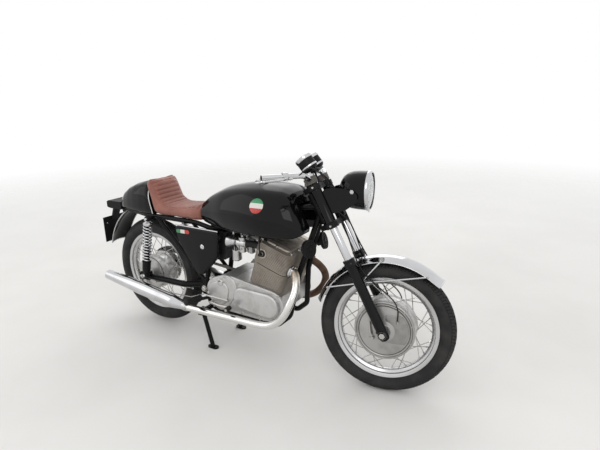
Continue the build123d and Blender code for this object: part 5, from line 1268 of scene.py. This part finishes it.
def addFins(shape, halfX, halfY, foot, top):
    height = foot
    while height < top:
        outline = boxOutline(halfX, halfY, finSizes["corner"])
        shape.raised(outline, bank, height, height + finSizes["thick"], 0.9)
        height += finSizes["pitch"]


block = Shape()
block.raised(boxOutline(82, 116, 38), bank, 0, 128, 0.5)
addFins(block, 98, 132, finSizes["blockFoot"], finSizes["blockTop"])
onChassis(block, "cylinderBlock", "finAlloy", "cast_alloy", ["cylinder_block"], sharp=40)
head = Shape()
head.raised(boxOutline(86, 120, 36), bank, 128.4, 234, 0.5)
addFins(head, 102, 136, finSizes["headFoot"], finSizes["headTop"])
head.raised(boxOutline(76, 104, 30), bank, 233, 247.5, 9)
for y in (-84, -56, -28, 0, 28, 56, 84):
    head.rod([bank @ Vector((x, y, 245.9)) for x in (-58, 0, 58)], 3, sides=10)
for side in (1, -1):
    recess = aimed(bank @ Vector((plugSpot[0], side * 136, plugSpot[1])), (0, side, 0))
    head.lathe([(-8, 24), (1, 24), (2.4, 22.5), (2.4, 19), (0.6, 18)], recess, sides=40)
    # a black disc at the foot of each plug recess is painted shade: it stands in for the recess's own
    # darkness
    head.lathe([(0, 18), (0.8, 18), (0.8, 0)], recess, look=1, sides=40)
onChassis(head, "cylinderHead", ["finAlloy", "plastic"], "cast_alloy", ["cylinder_head"], sharp=40)

# Plugs in the head's recesses, with rubber caps and their leads up under the tank
plugs = Shape()
for side in (1, -1):
    seatSpot = bank @ Vector((plugSpot[0], side * 134, plugSpot[1]))
    socket = aimed(seatSpot, (0, side, 0))
    plugs.lathe([(0, 16), (2, 16), (2, 10)], socket, look=1, sides=32)
    plugs.screw(aimed(seatSpot + Vector((0, side * 2, 0)), (0, side, 0)), 10, 8, look=2)
    plugs.lathe([(8, 6), (12, 8.5), (24, 9), (27, 8), (27, 0)], socket, look=1, sides=24)
    start = seatSpot + Vector((0, side * 20, 0))
    lead = through([start, start + Vector((-4, side * -2, 26)), start + Vector((-16, side * -26, 70)),
                    start + Vector((-30, side * -80, 100))], 8)
    plugs.rod(lead, 3.6, look=1, sides=12)
onChassis(plugs, "plugsAndLeads", ["darkCasting", "rubber", "steel"], "black_rubber")

# Nuts along the head's top fins
headNuts = Shape()
for x in (-86.4, 0, 86.4):
    for y in (-104, -36, 36, 104):
        headNuts.screw(aimed(bank @ Vector((x, y, 238.2)), bankUp), 7, 9)
onChassis(headNuts, "headNuts", "steel", "steel")

# Carburettors: stub, slide chamber with its cap, float bowl, flared bell mouth
headBack = bank @ Vector((-102, 0, 172.3))
carbs = Shape()
for side in (1, -1):
    out = side * cylinders["carbOut"]
    inlet = Vector((headBack.x, out, headBack.z))
    bore = Vector((headBack.x - 118, out, headBack.z + 6))
    stub = bent([inlet - bankAhead * 0.5, inlet - bankAhead * 34, bore], [40])
    carbs.rod(stub, 19, look=1, sides=32)
    carbs.lathe([(0, 25), (7, 25), (8, 23)], aimed(inlet - bankAhead * 8, bankAhead), sides=40)
    carbs.lathe([(0, 22), (3, 23.5), (9, 23.5), (12, 22)], aimed(bore + Vector((18, 0, 0)), (1, 0, 0)),
                look=2, sides=40)
    carbs.lathe([(-30, 21), (-28, 23), (22, 23), (24, 21)], aimed(bore, (1, 0, 0)), sides=40)
    carbs.lathe([(30, 23), (32, 22), (48, 22), (66, 25), (80, 31), (86, 34.5), (88, 35), (88, 33), (82, 29),
                 (66, 22), (48, 17), (30, 16)], aimed(bore, (-1, 0, 0)), look=3, sides=48)
    carbs.lathe([(-48, 17), (-46, 20), (22, 20), (24, 23), (33, 23), (35, 21), (35, 7), (43, 6), (43, 0)],
                aimed(bore, (0, 0, 1)), sides=40)
    bowlSpot = bore + Vector((-42, 0, 0))
    carbs.lathe([(-104, 9), (-104, 13), (-98, 13), (-97, 24), (-94, 26.5), (-46, 27), (-43, 28), (-40, 27),
                 (-38, 20)], aimed(bowlSpot, (0, 0, 1)), sides=48)
    block = cornered([(bore.x - 46, bore.z - 44), (bore.x + 12, bore.z - 44), (bore.x + 12, bore.z - 10),
                      (bore.x - 46, bore.z - 16)], 6, 48)
    carbs.raised(block, sideFace(1), out - 15, out + 15, 3)
    pivot = aimed(bore + Vector((-12, side * 20, -8)), (0, side, 0))
    carbs.lathe([(0, 6), (6, 6), (6, 4), (9, 4), (9, 0)], pivot, look=2, sides=16)
    carbs.lathe([(0, 5), (7, 5), (8, 3)], aimed(bore + Vector((6, side * 20, -26)), (0, side, 0)), look=2,
                sides=16)
    carbs.rod(through([bore + Vector((0, 0, 42)), bore + Vector((2, side * -2, 54)),
                       bore + Vector((16, side * -20, 66))], 6), 2.6, look=1, sides=10)
    tap = Vector((650, side * 74, 700))
    carbs.lathe([(0, 9), (8, 9), (8, 7), (22, 7), (22, 4)], aimed(tap, (0, 0, -1)), look=2, sides=20)
    hose = through([tap + Vector((0, 0, -20)), tap + Vector((2, side * 2, -60)),
                    bowlSpot + Vector((14, side * 24, -34)), bowlSpot + Vector((10, side * 20, -38))], 8)
    carbs.rod(hose, 4, look=1, sides=12)
onChassis(carbs, "carburettorPair", ["polishedAlloy", "rubber", "steel", "polishedAlloy"], "polished_alloy",
          ["carburettors"], sharp=34)
print("engine made")

# Exhaust: headers with their clamped collars, and tapered mufflers
exhaust = {"out": 202, "tube": 19, "muffler": 38, "front": (405, 258), "back": (-236, 331)}
port = bank @ Vector((102, 0, 152.3))
finishes["header"] = heated("headerChrome", (0.74, 0.73, 0.71), (0.46, 0.39, 0.30),
                            onMachine @ Vector((port.x, -cylinders["portOut"], port.z)), 0.11)
# (ahead, out, up) of the points that a header bends through
headerBends = (
    (1049, 118, 512), (1060, 150, 470), (1052, 184, 418), (1028, 199, 362), (985, 202, 312), (930, 202, 282),
    (860, 202, 272), (760, 202, 269), (600, 202, 264), (500, 202, 261), (405, 202, 258),
)
for side, label, look in ((-1, "right", "header"), (1, "left", "rust")):
    start = Vector((port.x, side * cylinders["portOut"], port.z))
    run = [start + bankAhead * 0.3, start + Vector((0, side, 0)) + bankAhead * 24]
    run += [Vector((x, side * y, z)) for x, y, z in headerBends]
    header = Shape()
    header.rod(through(run, 10), exhaust["tube"], sides=40)
    collar = aimed(run[0], bankAhead)
    header.lathe([(0, 29), (1, 30), (8, 30), (9, 28.5), (9, 24), (16, 23), (17, 19)], collar, look=1,
                 sides=48)
    for turn in (30, 150, 270):
        header.screw(collar @ Matrix.Translation(around(25.5, math.radians(turn), 8)), 4.5, 8, look=1)
    onChassis(header, label + "Header", [look, "chrome" if side < 0 else "rust"], "chrome",
              ifRight(side, "exhaust_pipes"))
    ahead, back = (Vector((x, side * exhaust["out"], z)) for x, z in (exhaust["front"], exhaust["back"]))
    reach = (back - ahead).length
    muffler = Shape()
    where = aimed(ahead + (back - ahead).normalized() * 0.6, back - ahead)
    muffler.lathe([(0, 19.5), (0, 22), (33, 22.6), (35, 23), (60, 27.5), (85, 33), (104, 36.6), (112, 37.8),
                   (130, exhaust["muffler"]), (reach * 0.55, exhaust["muffler"]), (reach * 0.56, 37.9),
                   (reach - 3, 29.4), (reach - 1, 29), (reach - 0.6, 28), (reach - 1, 26.4), (reach - 4, 26),
                   (reach - 60, 26), (reach - 60, 0)], where, sides=72)
    muffler.lathe([(6, 22), (6, 24.2), (20, 24.4), (20, 22)], where, look=1, sides=48)
    clampFoot = where @ Vector((0, 24, 13))
    muffler.screw(aimed(clampFoot, where.to_3x3() @ Vector((1, 0, 0))), 4.5, 12, look=1)
    onChassis(muffler, label + "Muffler", ["chrome", "steel"], "chrome", ifRight(side, "mufflers"), sharp=30)
print("exhaust made")

# Bars: a bent tube from each clamp, open at its end, with the clamp's pinch bolt
barSizes = {"radius": 12.5, "clampFoot": 744, "points": ((55, 101, 761), (53, 169, 792), (-74, 298, 850))}


def barPoints(side):                     # where the bar starts, bends and ends
    return [steered(x, side * y, z) for x, y, z in barSizes["points"]]


for side, label in ((1, "left"), (-1, "right")):
    root, bend, tip = barPoints(side)
    inward = (bend - tip).normalized()
    bar = Shape()
    bar.rod(bent([root, bend, tip + inward * 70], [40], 14), barSizes["radius"], sides=32)
    end = aimed(tip, inward)
    bar.lathe([(0, 9.5), (0, 12), (0.6, barSizes["radius"]), (70.5, barSizes["radius"]), (70.5, 9.5)], end,
              sides=32, loop=True)
    # a black disc deep inside the open end is painted shade: it stands in for the dark hollow of the tube
    bar.lathe([(69.5, 9.4), (69.9, 9.4), (69.9, 0)], end, look=1, sides=32)
    legTop = axes(straightAhead, toLeft, forkUp, steered(forkAhead, side * legHalf, barSizes["clampFoot"]))
    clamp = [(0, 17.9), (0, 24.5), (1, 25.5), (33, 25.5), (34, 24.5), (34, 17.9)]
    bar.lathe(clamp, legTop, look=2, sides=48, loop=True)
    bar.raised(cornered([(-34, -9), (-20, -9), (-20, 9), (-34, 9)], 3, 32), legTop, 2, 32, 2, look=2)
    bar.screw(legTop @ Matrix.Translation((-28, 0, 17)) @ acrossAxle, 5, 13, look=3)
    onSteering(bar, label + "Bar", ["chrome", "plastic", "darkCasting", "steel"], "chrome",
               ifRight(side, "handlebars"))

# Levers: perch collar, forged blade with its ball end, cable nipple and adjuster
for side, label in ((1, "left"), (-1, "right")):
    inner, outer = barPoints(side)[1:]
    along = (outer - inner).normalized()
    perch = inner + (outer - inner) * 0.38
    forward = (Vector((0, 0, -1)).cross(along) * side).normalized()
    lever = Shape()
    lever.lathe([(0, 13), (0, 17.5), (1, 18.5), (23, 18.5), (24, 17.5), (24, 13)], aimed(perch, along),
                sides=40, loop=True)
    knuckle = perch + along * 12 + forward * 20.5 - Vector((0, 0, 8))
    lever.rod([perch + along * 12 + forward * 7.5, knuckle + forward * 4], 8.5, sides=20, flat=0.8)
    lever.lathe([(-9, 7), (-8, 8), (8, 8), (9, 7)], aimed(knuckle, (0, 0, 1)), look=1, sides=24)
    bladeTip = outer + along * 4 + forward * 44 - Vector((0, 0, 12))
    blade = bent([knuckle - along * 6, knuckle + along * 26 + forward * 20.4, bladeTip], [12], 10)
    lever.rod(through(blade[::3] + [blade[-1]], 6), lambda share: 5.0 - 1.4 * abs(share - 0.5), look=1,
              sides=16)
    ball = aimed(bladeTip, along)
    lever.lathe([(-8, 2), (-6, 4.6), (-3, 5.9), (0, 5.9), (2, 4.6), (3.6, 2.4), (4, 0)], ball, look=1,
                sides=24)
    adjust = aimed(knuckle - along * 8 + forward * 2, -along)
    lever.lathe([(0, 5), (4, 5), (4, 6.5), (12, 6.5), (12, 4.2), (20, 4.2), (20, 3)], adjust, look=1,
                sides=16)
    onSteering(lever, label + "Lever", ["polishedAlloy", "polishedAlloy"], "polished_alloy",
               ifRight(side, "levers"))
print("bars made")

# Mudguards: crowned strips with rolled edges, held by round stays; start and end are in degrees
frontGuardSizes = {"radius": 346, "half": 56, "start": 46, "end": 163, "drop": 26, "wall": 2, "flare": 5}
rearGuardSizes = {"radius": 413, "half": 68, "start": 124, "end": 164, "drop": 18, "wall": 2}


def guardStrip(shape, centre, radius, half, start, end, drop, wall, flare=0.0):
    rings = []
    steps = 72
    for step in range(steps + 1):
        share = step / steps
        angle = math.radians(start + (end - start) * share)
        lift = flare * max(0.0, 1 - share / 0.07) ** 2
        outward = aboutAxle(1, angle)
        ring = []
        for depth, order in ((0, range(17)), (wall, range(16, -1, -1))):
            for across in order:
                y = (half - depth) * (across / 8 - 1)
                height = radius - depth - drop * (y / half) ** 2 + lift
                ring.append(centre + outward * height + Vector((0, y, 0)))
        rings.append(ring)
    shape.skin(rings)
    return rings


def guardEdges(shape, rings, bead, look):
    for index in (0, 16):
        shape.rod([ring[index] for ring in rings], bead, look, sides=10)
    for ring in (rings[0], rings[-1]):
        shape.rod(ring[:17], bead, look, sides=10)


frontGuard = Shape()
rings = guardStrip(frontGuard, frontAxle, **frontGuardSizes)
guardEdges(frontGuard, rings, 2.2, 0)
for side in (1, -1):
    low = steered(49, side * 66.7, 246)
    for angle in (58, 96, 148):
        high = frontAxle + aboutAxle(1, math.radians(angle)) * 325 + Vector((0, side * 57.5, 0))
        frontGuard.rod([high, low + (high - low) * 0.02], 3.9, look=1, sides=14)
        frontGuard.screw(aimed(high + Vector((0, side, 0)), (0, side, 0)), 6, 5, look=2)
    frontGuard.screw(aimed(low, (0, -side, 0)), 6, 5, look=2)
onSteering(frontGuard, "frontMudguard", ["chrome", "chrome", "steel"], "chrome", ["front_mudguard"], sharp=50)
rearGuard = Shape()
rings = guardStrip(rearGuard, Vector((34, 0, 369)), **rearGuardSizes)
guardEdges(rearGuard, rings, 3.2, 1)
onChassis(rearGuard, "rearMudguard", ["blackPaint", "polishedAlloy"], "black_paint", ["rear_mudguard"],
          sharp=50)
print("mudguards made")

# Shock absorbers: eyes in rubber, black body, bright rod and cap, wound spring
shock = {"foot": (40, 152, 363), "top": (108, 152, 712), "base": 92, "turns": 13, "radius": 26, "wire": 4.2}
for side, label in ((1, "left"), (-1, "right")):
    foot, top = (Vector((x, side * y, z)) for x, y, z in (shock["foot"], shock["top"]))
    length = (top - foot).length
    height = length - 38 - shock["base"]
    crown = shock["base"] + height
    along = aimed(foot, top - foot)
    damper = Shape()
    damper.lathe([(14, 12), (18, 16), (24, 21), (34, 23.5), (80, 24), (84, 24), (85.5, 25.6), (90, 25.6),
                  (91.5, 24), (91.5, 16), (100, 15), (180, 15), (182, 8), (length - 30, 8)], along, sides=48)
    damper.lathe([(crown + 0.5, 16), (crown + 0.5, 25), (crown + 3, 26), (length - 26, 25.4),
                  (length - 24, 22), (length - 18, 13), (length - 12, 12)], along, look=1, sides=48)
    for spot in (foot, top):
        damper.lathe([(-11.5, 9), (-11.5, 15.5), (-10, 16.8), (10, 16.8), (11.5, 15.5), (11.5, 9)],
                     aimed(spot, (0, 1, 0)), sides=40, loop=True)
        damper.lathe([(-11.8, 8.4), (-11.8, 13), (11.8, 13), (11.8, 8.4)], aimed(spot, (0, 1, 0)), look=2,
                     sides=32, loop=True)
        damper.screw(aimed(spot + Vector((0, side * 14.4, 0)), (0, side, 0)), 9.5, 8, look=1)
    onChassis(damper, label + "Shock", ["satinBlack", "chrome", "rubber"], "black_paint",
              ifRight(side, "shocks"))
    start = onMachine @ (along @ Vector((0, 0, shock["base"] + shock["wire"] + 0.4)))
    wound = trees["coil"].grow(label + "Spring", {
        "Turns": float(shock["turns"] - 1), "Radius": (shock["radius"] - shock["wire"]) / 1000,
        "Wire": shock["wire"] / 1000, "Height": (height - 2 * shock["wire"] - 0.8) / 1000,
        "Centre": start, "Turn": turnOf(onMachine @ along), "Finish": finishes["chrome"],
    })
    settle(wound, label + "Spring", "chassis", ifRight(side, "springs"))
print("shocks made")

# Chain: rollers between alternate inner and outer link plates, round both sprockets
chainSizes = {"y": 72, "plate": 1.6, "half": 6.2, "roller": 4.6, "links": 106}
loop = hullOf([(0, 339, 105), (596, 352, 46.5)], chainSizes["links"])
links = Shape()
for index, (x, z) in enumerate(loop):
    nextX, nextZ = loop[(index + 1) % len(loop)]
    here, there = Vector((x, chainSizes["y"], z)), Vector((nextX, chainSizes["y"], nextZ))
    out = chainSizes["half"] - (1.8 if index % 2 else 0)
    links.lathe([(-out, chainSizes["roller"]), (out, chainSizes["roller"])], aimed(here, (0, 1, 0)), sides=12)
    ahead = (there - here).normalized()
    pitch = (there - here).length
    plateSpot = axes(ahead, ahead.cross(Vector((0, 1, 0))), (0, -1, 0), (here + there) / 2)
    outline = hullOf([(-pitch / 2, 0, 5.8), (pitch / 2, 0, 5.8)], 18)
    for y in (out, -out):
        links.raised(outline, plateSpot, y - chainSizes["plate"] / 2, y + chainSizes["plate"] / 2, 0.2)
onChassis(links, "driveChain", "chain", "chain_steel", ["chain"])
print("chain made")

# Horns' grilles, axle and pivot nuts, footrest ends and the lamp's red lens
trim = Shape()
for side in (1, -1):
    centre = Vector((1091.7, side * 74, 663.9))
    facing = Vector((0.94, side * 0.2, 0.28)).normalized()
    disc = aimed(centre, facing)
    trim.lathe([(12, 42), (14.5, 43), (15.5, 41), (15, 38), (13.4, 37), (13.4, 25), (15, 24), (15, 21),
                (13.4, 20), (13.4, 9), (16, 8), (17, 0)], disc, sides=48)
    for turn in evenTurns(12):
        trim.rod([disc @ around(radius, turn, 14) for radius in (9, 38)], 1.3, sides=6)
    for x, y, z in ((0, 150, 339), (455, 113, 345)):
        trim.lathe([(0, 19), (2, 19), (2, 12)], aimed((x, side * y, z), (0, side, 0)), look=1, sides=32)
        trim.screw(aimed((x, side * (y + 2), z), (0, side, 0)), 15, 10, look=1)
    pegLine = Vector((-10, side * 98, 12))
    for step in range(7):
        ring = Vector((480 - 10 * step / 6, side * (192 + 80 * step / 6), 322 + 10 * step / 6))
        trim.lathe([(-2.4, 17), (-1.4, 18.2), (1.4, 18.2), (2.4, 17)], aimed(ring, pegLine), look=2, sides=32)
    pegEnd = aimed((470.5, side * 273, 333.6), pegLine)
    trim.lathe([(-1, 18.4), (4, 18.4), (6, 14), (6, 0)], pegEnd, look=2, sides=32)
onChassis(trim, "runningTrim", ["satinBlack", "steel", "rubber"], "steel")

sleeves = Shape()
pedal = aimed((696, -196, 322), (0, -1, 0))
sleeves.lathe([(0, 8), (0, 11.2), (2, 12), (34, 12), (36, 11.2), (36, 8)], pedal, sides=28, loop=True)
for step in range(6):
    foot = 4 + step * 5.4
    sleeves.lathe([(foot, 12), (foot + 1, 12.8), (foot + 3, 12.8), (foot + 4, 12)], pedal, sides=28)
shifter = aimed((706, 198, 324), (0, 1, 0))
sleeves.lathe([(0, 8), (0, 12), (2, 13), (34, 13), (36, 12), (36, 8)], shifter, sides=28, loop=True)
onChassis(sleeves, "leverRubbers", "rubber", "black_rubber")

lensShape = Shape()
outline = cornered([(-44, -17), (44, -17), (44, 15), (-44, 15)], 8, 64)
lensShape.raised(outline, axes((0, -1, 0), (0, 0, 1), (-1, 0, 0), (-368, 0, 727)), -2, 6.5, 4)
onChassis(lensShape, "tailLens", "redLens", "glass")

# Rear brake rod and torque arm, between the wheel and the swingarm
rods = Shape()
rods.rod([Vector((-16, -97, 238)), Vector((330, -99, 262)), Vector((430, -98, 300))], 3, sides=12)
rods.lathe([(-8, 6), (8, 6)], aimed((-16, -97, 238), (0, 1, 0)), sides=20)
rods.rod([Vector((46, -92, 300)), Vector((352, -98, 322))], 5.5, sides=14, flat=0.6)
rods.screw(aimed((46, -95, 300), (0, -1, 0)), 8, 6)
rods.screw(aimed((352, -100, 322), (0, -1, 0)), 8, 6)
onChassis(rods, "rearBrakeRods", "steel", "steel")

# Cables clipped to the fork: the twin front brake's pair and the instrument drive
cables = Shape()
start = steered(50, -196, 798)
split = steered(86, -44, 590)
cables.rod(through([start, steered(96, -150, 806), steered(118, -84, 722), split], 10), 3, sides=12)
for side in (1, -1):
    low = frontAxle + Vector((58, side * 74, 60))
    path = [split, steered(92, side * 58, 500), steered(84, side * 70, 300),
            frontAxle + Vector((40, side * 76, 150)), low]
    cables.rod(through(path, 10), 3, sides=12)
    cables.lathe([(0, 4.5), (12, 4.5), (12, 3)], aimed(low, low - path[3]), look=1, sides=14)
drive = [dialFoot + Vector((-6, 46, -8)), steered(92, 60, 700), steered(88, 74, 420),
         frontAxle + Vector((-10, 74, 130)), frontAxle + Vector((-26, 70, 52))]
cables.rod(through(drive, 10), 3.2, sides=12)
onSteering(cables, "forkCables", ["rubber", "steel"], "black_rubber")

# Fasteners on the yokes and the stem's domed nut
nuts = Shape()
stemTop = aimed(steered(0, 0, 753), forkUp)
nuts.lathe([(0, 20), (3, 20), (3, 17)], stemTop, sides=32)
nuts.screw(aimed(steered(0, 0, 756), forkUp), 17, 10)
for base in (528, 716):
    for side in (1, -1):
        nuts.screw(aimed(steered(forkAhead, side * 124, base + 12), (0, side, 0)), 6, 6)
for side in (1, -1):
    washer = aimed(frontAxle + Vector((0, side * 121, 0)), (0, side, 0))
    nuts.lathe([(-2, 19), (2, 19), (2, 14)], washer, sides=32)
    nuts.screw(aimed(frontAxle + Vector((0, side * 122, 0)), (0, side, 0)), 14, 8)
onSteering(nuts, "forkNuts", "steel", "steel")
print("trim made")

# Studio: pale floor, soft lamps and the camera at the photograph's angle
cameraSizes = {"spot": (1.408, -1.847, 1.379), "yaw": 120.63, "pitch": -16.26, "roll": -1.15, "focal": 457.4}
studio = {
    "floor": (0.80, 0.79, 0.77), "floorShade": (0.77, 0.76, 0.74), "reach": 14,
    "fadeStart": 2.0, "fadeEnd": 8.0, "worldLight": 0.85, "photoWidth": 600,
}


def makeStudio():
    yaw, pitch, roll = (math.radians(cameraSizes[key]) for key in ("yaw", "pitch", "roll"))
    ahead = Vector((math.cos(pitch) * math.cos(yaw), math.cos(pitch) * math.sin(yaw), math.sin(pitch)))
    right = ahead.cross(Vector((0, 0, 1))).normalized()
    up = right.cross(ahead)
    tiltedRight = right * math.cos(roll) + up * math.sin(roll)
    tiltedUp = up * math.cos(roll) - right * math.sin(roll)
    lens = bpy.data.cameras.new("camera")
    lens.sensor_width = 36
    lens.lens = cameraSizes["focal"] / studio["photoWidth"] * lens.sensor_width
    camera = added("camera", lens)
    camera.matrix_world = axes(tiltedRight, tiltedUp, -ahead, Vector(cameraSizes["spot"]))
    bpy.context.scene.camera = camera

    floor = Finish("paleFloor", {"Roughness": 0.8, "Specular IOR Level": 0.2})
    cloud = floor.noise(1.5, 5)
    floor.feed(colour=floor.colours(floor.spread(cloud, 0.4, 0.6), studio["floor"], studio["floorShade"]))
    away = floor.node("ShaderNodeVectorMath", {"operation": "LENGTH"}, {0: floor.spot}, "Value")
    fade = floor.spread(away, studio["fadeStart"], studio["fadeEnd"], 1.0, 0.0)
    floor.tree.links.new(fade.output, floor.shader.inputs["Alpha"])
    mesh = bpy.data.meshes.new("studioFloor")
    reach = studio["reach"]
    mesh.from_pydata([(-reach, -reach, 0), (reach, -reach, 0), (reach, reach, 0), (-reach, reach, 0)], [],
                     [(0, 1, 2, 3)])
    mesh.materials.append(floor.material)
    ground = added("studioFloor", mesh)

    world = bpy.data.worlds.new("studio")
    world.use_nodes = True
    bpy.context.scene.world = world
    sky = Nodes(world.node_tree)
    seen = sky.node("ShaderNodeLightPath", output="Is Camera Ray")
    glossy = sky.node("ShaderNodeLightPath", output="Is Glossy Ray")
    passed = sky.node("ShaderNodeLightPath", output="Is Transmission Ray")
    direct = seen.maths("MINIMUM", seen + glossy + passed, 1.0)
    strength = direct * (1 - studio["worldLight"]) + studio["worldLight"]
    background = world.node_tree.nodes["Background"]
    background.inputs["Color"].default_value = (1, 1, 1, 1)
    world.node_tree.links.new(strength.output, background.inputs["Strength"])
    # (name, place, aim, width, power)
    lamps = (
        ("keyLamp", (2.2, -3.2, 3.6), (0, 0, 0.5), 2.6, 46),
        ("fillLamp", (-3.0, -2.4, 2.4), (-0.2, 0, 0.5), 3.0, 20),
        ("backLamp", (-1.0, 3.4, 3.2), (0, 0, 0.6), 3.0, 30),
    )
    for name, spot, aim, width, power in lamps:
        light = bpy.data.lights.new(name, "AREA")
        light.size = width
        light.energy = power
        added(name, light).matrix_world = aimed(Vector(spot), Vector(spot) - Vector(aim))


makeStudio()
print("studio made")
